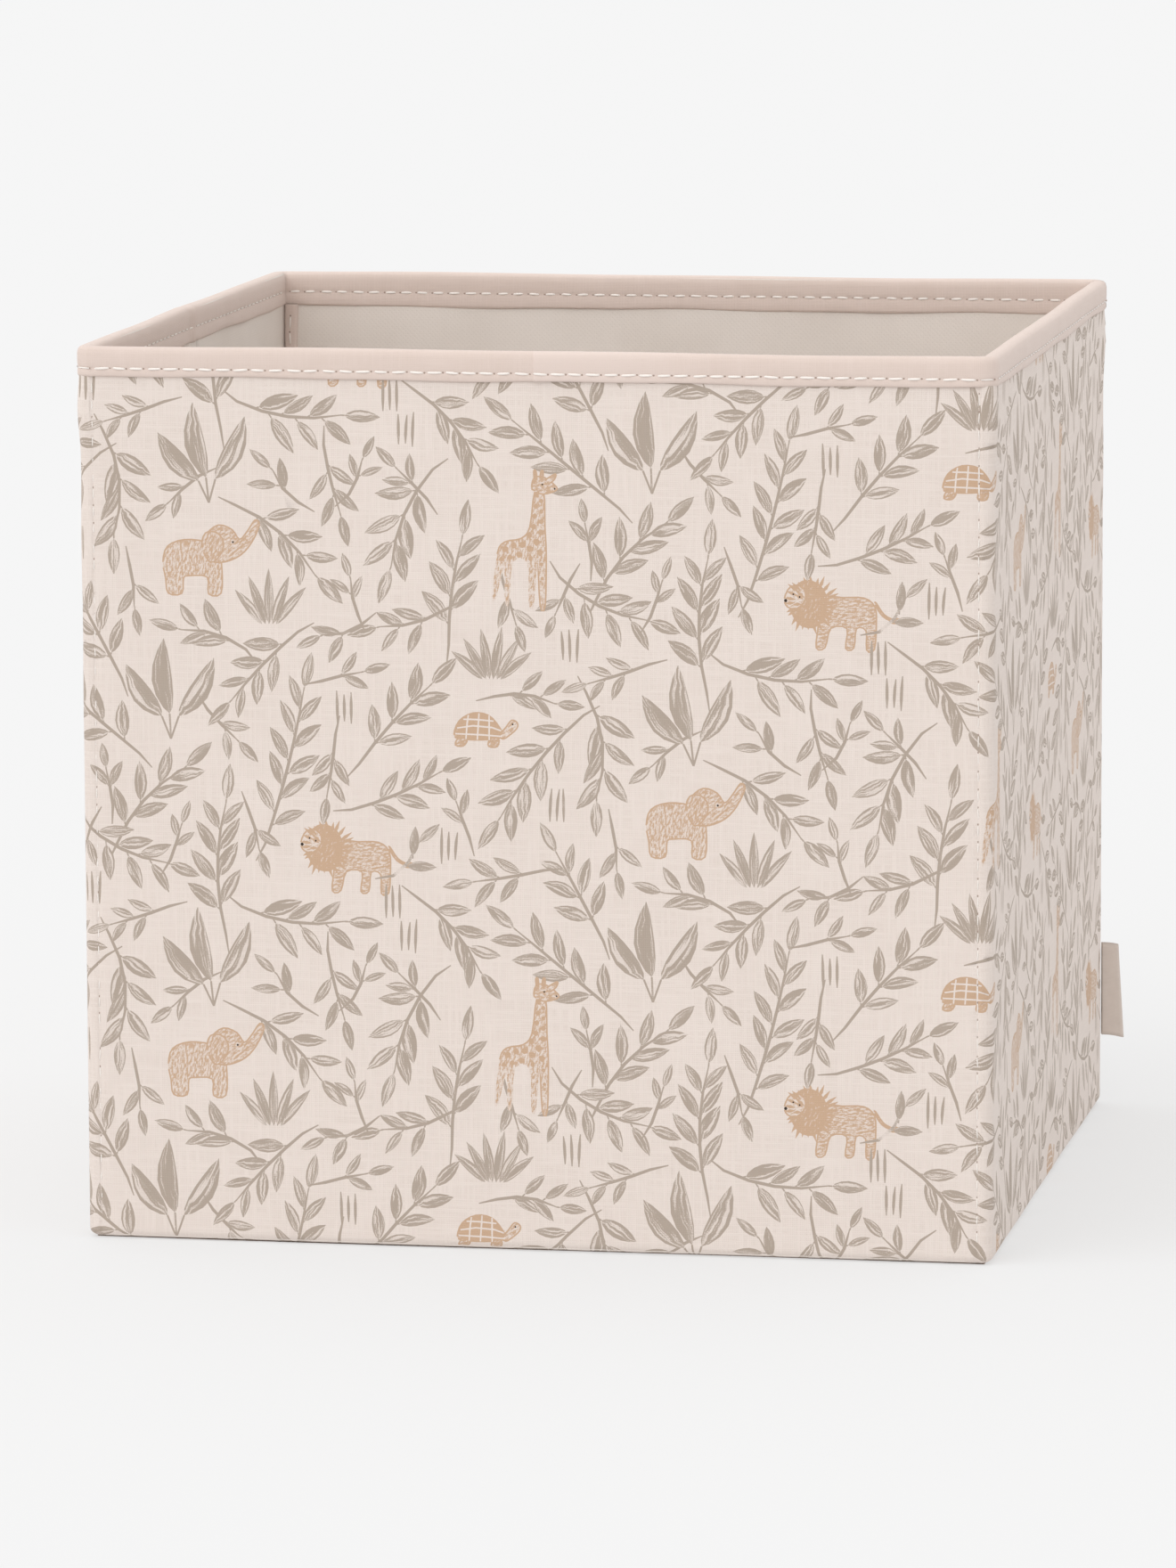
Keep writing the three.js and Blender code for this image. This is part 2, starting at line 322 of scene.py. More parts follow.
@dataclass(frozen=True)
class Finish:
    """What every finish shares.

    Attributes:
        name: The material's name.
        colour: Its main colour.
        slot: The material slot that it stands for.
        roughness: How dull it is, 0 to 1.
        sheen: How much its fuzz catches the light.
        relief_mm: Depth of its surface pattern.
    """

    name: str
    colour: str
    slot: str
    roughness: float = 0.9
    sheen: float = 0.0
    relief_mm: float = 0.1

    def shader(self, tree: bpy.types.NodeTree) -> tuple[object, object]:
        """Builds the colour and height patterns.

        Args:
            tree: The material's node tree.

        Returns:
            The colour socket and the height socket, height from 0 to 1.
        """
        raise NotImplementedError

    def material(self) -> bpy.types.Material:
        """Makes the material, once.

        Returns:
            The material, with its surface built from this finish's patterns.
        """
        found = bpy.data.materials.get(self.name)
        if found:
            return found
        made = bpy.data.materials.new(self.name)
        made.use_nodes = True
        tree = made.node_tree
        tree.nodes.clear()
        colour, height = self.shader(tree)
        bump = add(tree, "Bump", Strength=0.75, Distance=self.relief_mm * MM, Height=height)
        surface = add(
            tree,
            "BsdfPrincipled",
            Base_Color=colour,
            Roughness=self.roughness,
            Normal=bump,
            Sheen_Weight=self.sheen,
            Sheen_Roughness=0.5,
            Specular_IOR_Level=0.25,
        )
        add(tree, "OutputMaterial", Surface=surface)
        return made

    def cloth_axes(self, tree: bpy.types.NodeTree) -> tuple[object, object]:
        """Finds where a point lies on its cloth.

        Args:
            tree: The material's node tree.

        Returns:
            Sockets of the distance along and up the cloth, in millimetres.
        """
        where = add(tree, "Attribute", {"attribute_name": "cloth"})
        parts = add(tree, "SeparateXYZ", None, where.outputs["Vector"])
        return parts.outputs[0], parts.outputs[1]

    def tint(
        self, tree: bpy.types.NodeTree, amount: object, first: object, second: object
    ) -> object:
        """Mixes two colours.

        Args:
            tree: The material's node tree.
            amount: How much of the second colour there is, 0 to 1.
            first: A hex colour or a socket.
            second: A hex colour or a socket.

        Returns:
            The socket of the mixed colour.
        """
        ends = {
            f"i{i}": linear(c) if isinstance(c, str) else c
            for i, c in ((6, first), (7, second))
        }
        mix = add(tree, "Mix", {"data_type": "RGBA"}, i0=amount, **ends)
        return mix.outputs[2]


def woven(
    tree: bpy.types.NodeTree, along: object, up: object, pitch: float, uneven: float
) -> tuple[object, object]:
    """A plain weave of threads with slubs.

    Args:
        tree: The material's node tree.
        along: Socket of the position along the weft, in millimetres.
        up: Socket of the position along the warp, in millimetres.
        pitch: Distance between threads, in millimetres.
        uneven: How much the thickness of the threads varies, 0 to 1.

    Returns:
        The height of the weave and a slow slub pattern, both 0 to 1.
    """
    rows = []
    for here, there, seed in ((along, up, 3.0), (up, along, 11.0)):
        line = add(tree, "CombineXYZ", None, add(tree, "Math", "MULTIPLY", here, 1.1),
                   add(tree, "Math", "MULTIPLY", there, 0.06), seed)
        wander = add(tree, "TexNoise", Vector=line, Scale=1.0, Detail=2.0)
        turn = add(tree, "Math", "MULTIPLY", here, 2 * math.pi / pitch)
        shifted = add(tree, "Math", "MULTIPLY_ADD", wander, 5.0, turn)
        wave = add(tree, "Math", "SINE", shifted)
        half = add(tree, "Math", "MULTIPLY_ADD", wave, 0.5, 0.5)
        slub = add(tree, "Clamp", Value=add(tree, "Math", "MULTIPLY_ADD", wander, 2.6, -0.8))
        rows.append((half, slub))
    (a, slub_a), (b, slub_b) = rows
    height = add(tree, "Math", "MAXIMUM", a, b)
    slubs = add(tree, "Math", "MAXIMUM", slub_a, slub_b)
    lifted = add(tree, "Math", "MULTIPLY_ADD", slubs, uneven, height)
    return add(tree, "Math", "MULTIPLY", lifted, 1 / (1 + uneven)), slubs


@dataclass(frozen=True)
class PlainCotton(Finish):
    """Woven cotton, dyed in the piece: matt, with a fine even weave.

    Attributes:
        shade: Colour between the threads, painted there as shade; the mottle mixes towards it too.
        thread_mm: Thread spacing, a little coarser than real, so that it shows.
        join_mm: How far past a join the end ply on top is drawn paler, fading out, if there is a join.
    """

    shade: str = "d9c6b9"
    thread_mm: float = 0.45
    join_mm: float = 0.0

    def shader(self, tree: bpy.types.NodeTree) -> tuple[object, object]:
        """Colour with painted shade that darkens it between the threads, over a soft mottle.

        Args:
            tree: The material's node tree.

        Returns:
            The colour and the height.
        """
        along, up = self.cloth_axes(tree)
        height, slubs = woven(tree, along, up, self.thread_mm, 0.3)
        place = add(tree, "CombineXYZ", None, along, up)
        mottle = add(tree, "TexNoise", Vector=place, Scale=0.09, Detail=3.0)
        # Painted shade: the colour darkens where the weave is low, between the threads.
        dark = add(tree, "Math", "SUBTRACT", 1.0, height)
        amount = add(tree, "Math", "MULTIPLY", dark, 0.35)
        amount = add(tree, "Math", "MULTIPLY_ADD", mottle, 0.45, amount)
        amount = add(tree, "Math", "MULTIPLY_ADD", slubs, -0.12, amount)
        if self.join_mm:
            fade = add(tree, "MapRange", Value=along, From_Min=0.9, From_Max=self.join_mm,
                       To_Min=0.62, To_Max=0.0)
            past = add(tree, "Math", "GREATER_THAN", along, 0.9)
            paler = add(tree, "Math", "MULTIPLY", past, fade)
            amount = add(tree, "Math", "SUBTRACT", amount, paler)
        return self.tint(tree, amount, self.colour, self.shade), height


@dataclass(frozen=True)
class PrintedCotton(Finish):
    """Slubby plain-weave cotton, screen printed with thin matt pigment.

    The pigment skips between the threads, so each motif looks drawn with a
    dry brush. Attributes on the mesh say which ink a face carries (the sort of
    motif) and where a point lies in its motif: across from -1 to 1, along from
    0 to 1, and a random number for the motif.

    Attributes:
        shade: Colour of the ground between the threads, painted there as shade; the mottle mixes towards it too.
        leaf_ink: Colour of leaves and grass.
        animal_ink: Colour of animals.
        dark_ink: Colour of eyes and noses.
        thread_mm: Thread spacing, coarser than real, so that it shows.
    """

    shade: str = "cdbeb4"
    leaf_ink: str = "a59688"
    animal_ink: str = "c1a083"
    dark_ink: str = "3c332d"
    thread_mm: float = 0.62

    def strokes(self, tree: bpy.types.NodeTree, across: object, along: object,
                seed: object) -> object:
        """Long brush strokes along a motif, with an outline and a midrib.

        Args:
            tree: The material's node tree.
            across: Place across the motif, -1 to 1.
            along: Place along it, 0 to 1.
            seed: The motif's own number.

        Returns:
            How much ink the brush leaves.
        """
        wide = add(tree, "Math", "MULTIPLY", across, 2.4)
        long = add(tree, "Math", "MULTIPLY", along, 0.75)
        other = add(tree, "Math", "MULTIPLY", seed, 37.0)
        place = add(tree, "CombineXYZ", None, wide, long, other)
        streak = add(tree, "TexNoise", Vector=place, Scale=1.5, Detail=1.5, Roughness=0.6)
        aside = add(tree, "Math", "ABSOLUTE", across)
        edge = add(tree, "Math", "POWER", aside, 5.0)
        rib = add(tree, "Math", "SUBTRACT", 1.0, add(tree, "Math", "MULTIPLY", aside, 5.0))
        rib = add(tree, "Clamp", Value=rib)
        total = add(tree, "Math", "MULTIPLY_ADD", edge, 0.36, streak)
        return add(tree, "Math", "MULTIPLY_ADD", rib, 0.10, total)

    def shader(self, tree: bpy.types.NodeTree) -> tuple[object, object]:
        """Ground colour with painted shade between the threads, then leaf, animal and dark inks over the weave.

        Args:
            tree: The material's node tree.

        Returns:
            The colour and the height.
        """
        along, up = self.cloth_axes(tree)
        height, slubs = woven(tree, along, up, self.thread_mm, 0.6)
        place = add(tree, "CombineXYZ", None, along, up)
        mottle = add(tree, "TexNoise", Vector=place, Scale=0.05, Detail=3.0)
        # Painted shade: the ground darkens where the weave is low, between the threads.
        amount = add(tree, "Math", "MULTIPLY", add(tree, "Math", "SUBTRACT", 1.0, height), 0.42)
        amount = add(tree, "Math", "MULTIPLY_ADD", mottle, 0.3, amount)
        amount = add(tree, "Math", "MULTIPLY_ADD", slubs, -0.25, amount)
        ground = self.tint(tree, amount, self.colour, self.shade)

        motif = add(tree, "Attribute", {"attribute_name": "motif"})
        parts = add(tree, "SeparateXYZ", None, motif.outputs["Vector"])
        ink = add(tree, "Attribute", {"attribute_name": "ink"})
        inks = add(tree, "SeparateXYZ", None, ink.outputs["Vector"])
        grain = add(tree, "TexNoise", Vector=place, Scale=2.6, Detail=2.0, Roughness=0.7)
        skip = add(tree, "Math", "MULTIPLY_ADD", grain, 0.28, -0.14)
        skip = add(tree, "Math", "MULTIPLY_ADD", height, 0.10, skip)

        drawn = self.strokes(tree, parts.outputs[0], parts.outputs[1], parts.outputs[2])
        inked = add(tree, "Math", "ADD", drawn, skip)
        solid = add(tree, "MapRange", {"interpolation_type": "SMOOTHSTEP"},
                    Value=inked, From_Min=0.49, From_Max=0.585)
        solid = add(tree, "Math", "MULTIPLY_ADD", solid, 0.78, 0.10)
        leaves = add(tree, "Math", "MULTIPLY", inks.outputs[0], solid)
        colour = self.tint(tree, leaves, ground, self.leaf_ink)

        fur = add(tree, "CombineXYZ", None, add(tree, "Math", "MULTIPLY", parts.outputs[0], 1.6),
                  add(tree, "Math", "MULTIPLY", parts.outputs[1], 0.55))
        hatch = add(tree, "TexNoise", Vector=fur, Scale=1.0, Detail=3.0, Roughness=0.65)
        thick = add(tree, "Math", "ADD", hatch, skip)
        dense = add(tree, "Math", "MULTIPLY_ADD", parts.outputs[2], 0.5, -0.25)
        thick = add(tree, "Math", "ADD", thick, dense)
        fur_ink = add(tree, "MapRange", {"interpolation_type": "SMOOTHSTEP"},
                      Value=thick, From_Min=0.44, From_Max=0.56)
        fur_ink = add(tree, "Math", "MULTIPLY_ADD", fur_ink, 0.80, 0.12)
        animal = add(tree, "Math", "MULTIPLY", inks.outputs[1], fur_ink)
        colour = self.tint(tree, animal, colour, self.animal_ink)
        colour = self.tint(tree, inks.outputs[2], colour, self.dark_ink)
        return colour, height


@dataclass(frozen=True)
class NonWoven(Finish):
    """Spunbonded polypropylene, pressed with a grid of bond points: papery and matt.

    Attributes:
        shade: Colour of its thin places.
        bond_mm: Spacing of the bond points, coarser than real, so that they show.
    """

    shade: str = "b3a598"
    bond_mm: float = 1.6

    def shader(self, tree: bpy.types.NodeTree) -> tuple[object, object]:
        """Fibre mottle with rows of small sunken bond points.

        Args:
            tree: The material's node tree.

        Returns:
            The colour and the height.
        """
        along, up = self.cloth_axes(tree)
        place = add(tree, "CombineXYZ", None, along, up)
        fibres = add(tree, "TexNoise", Vector=place, Scale=1.1, Detail=4.0, Roughness=0.7)
        cloud = add(tree, "TexNoise", Vector=place, Scale=0.03, Detail=2.0)
        turn = 2 * math.pi / self.bond_mm
        dots = add(
            tree, "Math", "MULTIPLY",
            add(tree, "Math", "SINE", add(tree, "Math", "MULTIPLY", along, turn)),
            add(tree, "Math", "SINE", add(tree, "Math", "MULTIPLY", up, turn)),
        )
        sunk = add(tree, "MapRange", Value=dots, From_Min=0.35, From_Max=0.9)
        height = add(tree, "Math", "MULTIPLY_ADD", fibres, 0.5, 0.4)
        height = add(tree, "Math", "MULTIPLY_ADD", sunk, -0.35, height)
        amount = add(tree, "Math", "MULTIPLY_ADD", fibres, 0.35, -0.05)
        amount = add(tree, "Math", "MULTIPLY_ADD", cloud, 0.5, amount)
        amount = add(tree, "Math", "MULTIPLY_ADD", sunk, 0.1, amount)
        return self.tint(tree, amount, self.colour, self.shade), height


@dataclass(frozen=True)
class Pulp(Finish):
    """Grey board: pressed pulp, with flecks and a dull, faintly fibrous face."""

    shade: str = "8c7f70"

    def shader(self, tree: bpy.types.NodeTree) -> tuple[object, object]:
        """Flecked pulp.

        Args:
            tree: The material's node tree.

        Returns:
            The colour and the height.
        """
        along, up = self.cloth_axes(tree)
        place = add(tree, "CombineXYZ", None, along, up)
        fleck = add(tree, "TexNoise", Vector=place, Scale=0.8, Detail=5.0, Roughness=0.75)
        return self.tint(tree, fleck, self.colour, self.shade), fleck


@dataclass(frozen=True)
class Spun(Finish):
    """Spun polyester sewing thread: two plies twisted together, with a slight sheen."""

    shade: str = "e3d6cc"

    def shader(self, tree: bpy.types.NodeTree) -> tuple[object, object]:
        """Slanting plies along each stitch, with painted shade in the grooves between them.

        Args:
            tree: The material's node tree.

        Returns:
            The colour and the height.
        """
        along, up = self.cloth_axes(tree)
        slant = add(tree, "Math", "ADD", add(tree, "Math", "MULTIPLY", along, 7.0),
                    add(tree, "Math", "MULTIPLY", up, 9.0))
        ply = add(tree, "Math", "MULTIPLY_ADD", add(tree, "Math", "SINE", slant), 0.5, 0.5)
        # Painted shade: the colour goes to the shade colour in the low grooves between the plies.
        return self.tint(tree, ply, self.shade, self.colour), ply


@dataclass(frozen=True)
class Satin(Finish):
    """Polyester satin ribbon: fine ribs across it and a soft gloss."""

    shade: str = "bfb0a5"

    def shader(self, tree: bpy.types.NodeTree) -> tuple[object, object]:
        """Fine ribs, with painted shading along them, and a slight mottle.

        Args:
            tree: The material's node tree.

        Returns:
            The colour and the height.
        """
        along, up = self.cloth_axes(tree)
        wave = add(tree, "Math", "SINE", add(tree, "Math", "MULTIPLY", up, 15.0))
        rib = add(tree, "Math", "MULTIPLY_ADD", wave, 0.5, 0.5)
        place = add(tree, "CombineXYZ", None, along, up)
        mottle = add(tree, "TexNoise", Vector=place, Scale=0.3, Detail=2.0)
        # Painted shading along the ribs: the colour goes towards the shade colour on each rib's crest.
        rib_shading = add(tree, "Math", "MULTIPLY", rib, 0.2)
        amount = add(tree, "Math", "MULTIPLY_ADD", mottle, 0.5, rib_shading)
        return self.tint(tree, amount, self.colour, self.shade), rib


# Pale ground with thin, dry pigment: matt, with the weave showing through.
PRINT = PrintedCotton("screen_printed_cotton", "e2d6ce", "printed_cotton", 0.92, 0.1, 0.12)
# Smooth, rosier than the ground, and catches a soft light on its folded edge.
TAPE = PlainCotton("woven_cotton_tape", "dccbc2", "rim_tape", 0.88, 0.15, 0.06, "ccb9ad",
                   join_mm=60.0)
# The same tape without a join, over the inner corner seams.
EDGING = PlainCotton("corner_cotton_tape", "dccbc2", "rim_tape", 0.88, 0.15, 0.06, "ccb9ad")
# The unprinted back of the cotton: plain, and a little darker than the ground.
REVERSE = PlainCotton("plain_cotton_reverse", "dcccc2", "printed_cotton", 0.9, 0.1, 0.08,
                      "cbb9ad", 0.62)
# Papery and dull, with tiny bond points.
LINING = NonWoven("spunbonded_non_woven", "ebe3dc", "lining", 0.93, 0.05, 0.09, "cdc2b8")
# Rough brown-grey board with flecks.
BOARD = Pulp("grey_board", "a99c8b", "board", 0.95, 0.0, 0.05)
# Nearly white and slightly shiny, so that each stitch stands out.
THREAD = Spun("spun_polyester_thread", "fffaf5", "thread", 0.6, 0.2, 0.05, "f3e9e0")
# A soft gloss, on plain taupe.
RIBBON = Satin("satin_ribbon", "d6c9bf", "label", 0.5, 0.25, 0.03)
# Painted shade: the shaded thread down in a needle hole, drawn as a small dark dot between stitches in a darker copy of
# the thread.
HOLE_SHADE = Spun("needle_hole_shadow", "a8958a", "thread", 0.95, 0.0, 0.02, "9b887c")


# ---- the shape


def smooth(t: float) -> float:
    """An S curve from 0 to 1."""
    t = min(1.0, max(0.0, t))
    return t * t * (3 - 2 * t)


def bell(x: float, width: float) -> float:
    """A bump of height 1 at x = 0 that fades out over width."""
    return math.exp(-((x / width) ** 2))


def slack(wall: Wall, u: float, z: float) -> float:
    """How far a wall stands out of its flat plane, in millimetres.

    Sewn panels aren't quite flat. The left wall bows out where it folds, the
    right wall draws in there, and the front and back swell a little.

    Args:
        wall: The wall.
        u: Distance along it from its middle.
        z: Height.

    Returns:
        The distance outwards.
    """
    fade = smooth((HALF - abs(u)) / 60)
    up = z / HEIGHT
    ripple = 0.16 * math.sin(u / 31 + 2.1 * wall.value) * math.sin(z / 43 + wall.value)
    ripple += 0.10 * math.sin(u / 13 + z / 29 + wall.value)
    if wall is Wall.LEFT:
        u0 = wall.u_of_y(FOLD_Y)
        form = 0.3 * bell(u - u0, 55) + 0.25 * bell(u - u0 - 5, 4) * smooth(up * 3)
        form -= 0.9 * bell(u - u0, 1.8) * smooth((up - 0.55) * 3)
    elif wall is Wall.RIGHT:
        u0 = wall.u_of_y(FOLD_Y)
        form = -(0.1 + 0.3 * (1 - up)) * bell(u - u0, 60)
    else:
        form = 0.7 * math.sin(math.pi * min(1.0, up + 0.1)) * bell(u, 90)
        if wall is Wall.FRONT:
            form += 0.35 * bell(u + 118, 22) * bell(z - 262, 14)
            form -= 0.25 * bell(u - 20, 40) * bell(z - 270, 10)
    return fade * (form + ripple)


def place(wall: Wall, u: float, z: float, d: float, turn: float = COVER_TURN) -> Point3:
    """A point in space, in millimetres, on the wall or round its corner.

    Args:
        wall: The wall that u is measured on.
        u: Distance along the wall from its middle. Past the wall's flat part
            it goes on round the corner, and then along the next wall.
        z: Height.
        d: Depth behind the outer face.
        turn: Corner radius at the outer face.

    Returns:
        x, y and z.
    """
    flat = HALF - turn
    quarter = turn * math.pi / 2
    if u > flat + quarter:
        return place(Wall((wall.value + 1) % 4), u - 2 * flat - quarter, z, d, turn)
    if u < -flat - quarter:
        return place(Wall((wall.value - 1) % 4), u + 2 * flat + quarter, z, d, turn)
    if abs(u) <= flat:
        return wall.point(u, HALF - d + slack(wall, u, z), z)
    sign = 1 if u > 0 else -1
    angle = (abs(u) - flat) / turn
    radius = turn - d
    along = sign * (flat + radius * math.sin(angle))
    return wall.point(along, flat + radius * math.cos(angle), z)


def foot(v: float, d: float) -> Point2:
    """Turns the cover's lower edge in.

    Args:
        v: Distance up the cloth.
        d: Depth behind the outer face.

    Returns:
        Height and depth.
    """
    if v >= FOOT_TURN:
        return v, d
    angle = (FOOT_TURN - v) / FOOT_TURN
    radius = FOOT_TURN - d
    rise = (FOOT_TURN - FOOT_LOW) / FOOT_TURN
    return FOOT_TURN - radius * math.sin(angle) * rise, FOOT_TURN - radius * math.cos(angle)


def toward(start: Point2, far: float, angle: float) -> Point2:
    """The point at a distance and direction from another."""
    return start[0] + far * math.cos(angle), start[1] + far * math.sin(angle)


# ---- meshes


def link(name: str, data: bpy.types.ID) -> bpy.types.Object:
    """Makes an object of its data, in the scene.

    Args:
        name: The object's name.
        data: Its mesh, light or camera.

    Returns:
        The object.
    """
    made = bpy.data.objects.new(name, data)
    bpy.context.scene.collection.objects.link(made)
    return made


@dataclass
class Maker:
    """Collects vertices, faces and their attributes, and makes an object of them."""

    points: list[Point3] = field(default_factory=list)
    faces: list[tuple[int, ...]] = field(default_factory=list)
    cloth: list[Point2] = field(default_factory=list)
    finish_of: list[int] = field(default_factory=list)

    def vertex(self, point: Sequence[float], cloth: Point2) -> int:
        """Adds a point.

        Args:
            point: x, y and z in millimetres.
            cloth: The point's place on the cloth.

        Returns:
            Its index.
        """
        self.points.append((point[0], point[1], point[2]))
        self.cloth.append(cloth)
        return len(self.points) - 1

    def face(self, corners: Iterable[int], finish: int = 0) -> None:
        """Adds a face with the index of its finish."""
        self.faces.append(tuple(corners))
        self.finish_of.append(finish)

    def grid(self, us: Sequence[float], vs: Sequence[float],
             at: Callable[[float, float], Sequence[float]],
             cloth: Callable[[float, float], Point2] | None = None) -> None:
        """Adds a grid of quads over two ranges.

        Args:
            us: Stations one way.
            vs: Stations the other way.
            at: Gives a point in millimetres for a station of each.
            cloth: Gives the place on the cloth, or None for the stations.
        """
        rows = [
            [self.vertex(at(u, v), cloth(u, v) if cloth else (u, v)) for v in vs]
            for u in us
        ]
        for i in range(len(us) - 1):
            for j in range(len(vs) - 1):
                self.face((rows[i][j], rows[i + 1][j], rows[i + 1][j + 1], rows[i][j + 1]))

    def build(self, name: str, finishes: Sequence[Finish],
              thick: float = 0.0) -> bpy.types.Object:
        """Makes the object.

        Args:
            name: The piece's name.
            finishes: The finishes, in the order of the faces' indices.
            thick: Thickness added behind the faces, in millimetres.

        Returns:
            The object, linked to the scene.
        """
        mesh = bpy.data.meshes.new(name)
        mesh.from_pydata([tuple(c * MM for c in p) for p in self.points], [], self.faces)
        where = mesh.attributes.new("cloth", "FLOAT_VECTOR", "POINT")
        where.data.foreach_set("vector", [c for s, t in self.cloth for c in (s, t, 0.0)])
        for finish in finishes:
            mesh.materials.append(finish.material())
        mesh.polygons.foreach_set("material_index", self.finish_of)
        mesh.polygons.foreach_set("use_smooth", [True] * len(self.faces))
        mesh.update()
        made = link(name, mesh)
        if thick:
            layer = made.modifiers.new("thickness", "SOLIDIFY")
            layer.thickness = thick * MM
            layer.offset = -1.0
            bpy.context.view_layer.objects.active = made
            with bpy.context.temp_override(object=made, active_object=made):
                bpy.ops.object.modifier_apply(modifier=layer.name)
        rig.slot(made, finishes[0].slot)
        return made


def stations(start: float, end: float, step: float) -> list[float]:
    """Evenly spaced values from start to end, about step apart."""
    count = max(1, round(abs(end - start) / step))
    return [start + (end - start) * i / count for i in range(count + 1)]


# ---- the print


class Ink(Enum):
    """What a motif is printed with."""

    LEAF = (1.0, 0.0, 0.0)
    ANIMAL = (0.0, 1.0, 0.0)
    DARK = (0.0, 0.0, 1.0)
    BARE = (0.0, 0.0, 0.0)


@dataclass
class Motif:
    """One closed shape of the print, with how its brush strokes run.

    Attributes:
        outline: Corner points, in millimetres on the cloth.
        ink: What it is printed with.
        local: Gives across, along and a number for the motif at a point.
    """

    outline: list[Point2]
    ink: Ink
    local: Callable[[float, float], Point3]

    @cached_property
    def box(self) -> tuple[float, float, float, float]:
        """The outline's least and greatest places across and up."""
        xs, ys = [x for x, _ in self.outline], [y for _, y in self.outline]
        return min(xs), max(xs), min(ys), max(ys)

    @cached_property
    def counter_clockwise(self) -> list[Point2]:
        """The outline, in the order that the mesh cutter takes as its inside.

        Returns:
            The corner points.
        """
        pairs = zip(self.outline, self.outline[1:] + self.outline[:1])
        turn = sum(a[0] * b[1] - a[1] * b[0] for a, b in pairs)
        return self.outline if turn > 0 else self.outline[::-1]

    def moved(self, dx: float, dy: float) -> "Motif":
        """A copy of the motif, shifted on the cloth.

        Args:
            dx: Distance across.
            dy: Distance up.

        Returns:
            The copy.
        """
        return Motif(
            [(x + dx, y + dy) for x, y in self.outline],
            self.ink,
            lambda x, y: self.local(x - dx, y - dy),
        )


def leaf(base: Point2, angle: float, length: float, width: float, seed: float,
         rib: float = 0.0) -> Motif:
    """An almond-shaped leaf.

    Args:
        base: Where its stalk starts.
        angle: Direction of its tip.
        length: From stalk to tip.
        width: Across its middle.
        seed: A number from 0 to 1 that varies its brush strokes.
        rib: How much it curves to one side, as a share of its length.

    Returns:
        The motif.
    """
    ca, sa = math.cos(angle), math.sin(angle)

    def half(t: float) -> float:
        """Half width at a share of the length."""
        return width / 2 * math.sin(math.pi * min(1.0, max(0.0, t)) ** 0.85) ** 0.8

    def bend(t: float) -> float:
        """How far the midrib curves aside there."""
        return rib * length * math.sin(math.pi * t)

    outline: list[Point2] = []
    steps = [0.0, 0.08, 0.25, 0.45, 0.65, 0.84, 1.0]
    for side, ts in ((1, steps), (-1, steps[-2:0:-1])):
        for t in ts:
            x, y = t * length, bend(t) + side * half(t)
            outline.append((base[0] + x * ca - y * sa, base[1] + x * sa + y * ca))

    def local(px: float, py: float) -> Point3:
        """Finds a place on the leaf.

        Args:
            px: Place along the cloth.
            py: Place up the cloth.

        Returns:
            Place across the leaf and along it, and its seed.
        """
        dx, dy = px - base[0], py - base[1]
        t = (dx * ca + dy * sa) / length
        off = -dx * sa + dy * ca - bend(min(1.0, max(0.0, t)))
        return (max(-1.0, min(1.0, off / max(0.12 * width, half(t)))), t, seed)

    return Motif(outline, Ink.LEAF, local)


def stroke(points: Sequence[Point2], width: float, seed: float, ink: Ink = Ink.LEAF,
           taper: float = 0.35) -> Motif:
    """A brush stroke, thin at its ends.

    Args:
        points: The line that it follows.
        width: Its greatest width.
        seed: A number from 0 to 1 that varies its ink.
        ink: What it is printed with.
        taper: Width of its ends, as a share of the greatest.

    Returns:
        The motif.
    """
    left: list[Point2] = []
    right: list[Point2] = []
    last = len(points) - 1
    for i, (x, y) in enumerate(points):
        x0, y0 = points[max(0, i - 1)]
        x1, y1 = points[min(last, i + 1)]
        size = math.hypot(x1 - x0, y1 - y0) or 1.0
        nx, ny = -(y1 - y0) / size, (x1 - x0) / size
        t = i / last
        half = width / 2 * (taper + (1 - taper) * math.sin(math.pi * t) ** 0.6)
        left.append((x + nx * half, y + ny * half))
        right.append((x - nx * half, y - ny * half))
    return Motif(left + right[::-1], ink, lambda x, y: (0.9, (x + y) * 0.05, seed))


def closed_curve(points: Sequence[Point2], steps: int = 3) -> list[Point2]:
    """Rounds a closed run of points into a smooth outline.

    Args:
        points: The points that it passes through.
        steps: Points made for each of them.

    Returns:
        The outline.
    """
    def between(a: float, b: float, c: float, d: float, t: float) -> float:
        """A Catmull-Rom curve from b to c."""
        return 0.5 * (2 * b + (c - a) * t + (2 * a - 5 * b + 4 * c - d) * t * t
                      + (3 * b - a - 3 * c + d) * t ** 3)

    out: list[Point2] = []
    n = len(points)
    for i in range(n):
        near = [points[(i + k - 1) % n] for k in range(4)]
        xs, ys = [x for x, _ in near], [y for _, y in near]
        for j in range(steps):
            out.append((between(*xs, j / steps), between(*ys, j / steps)))
    return out


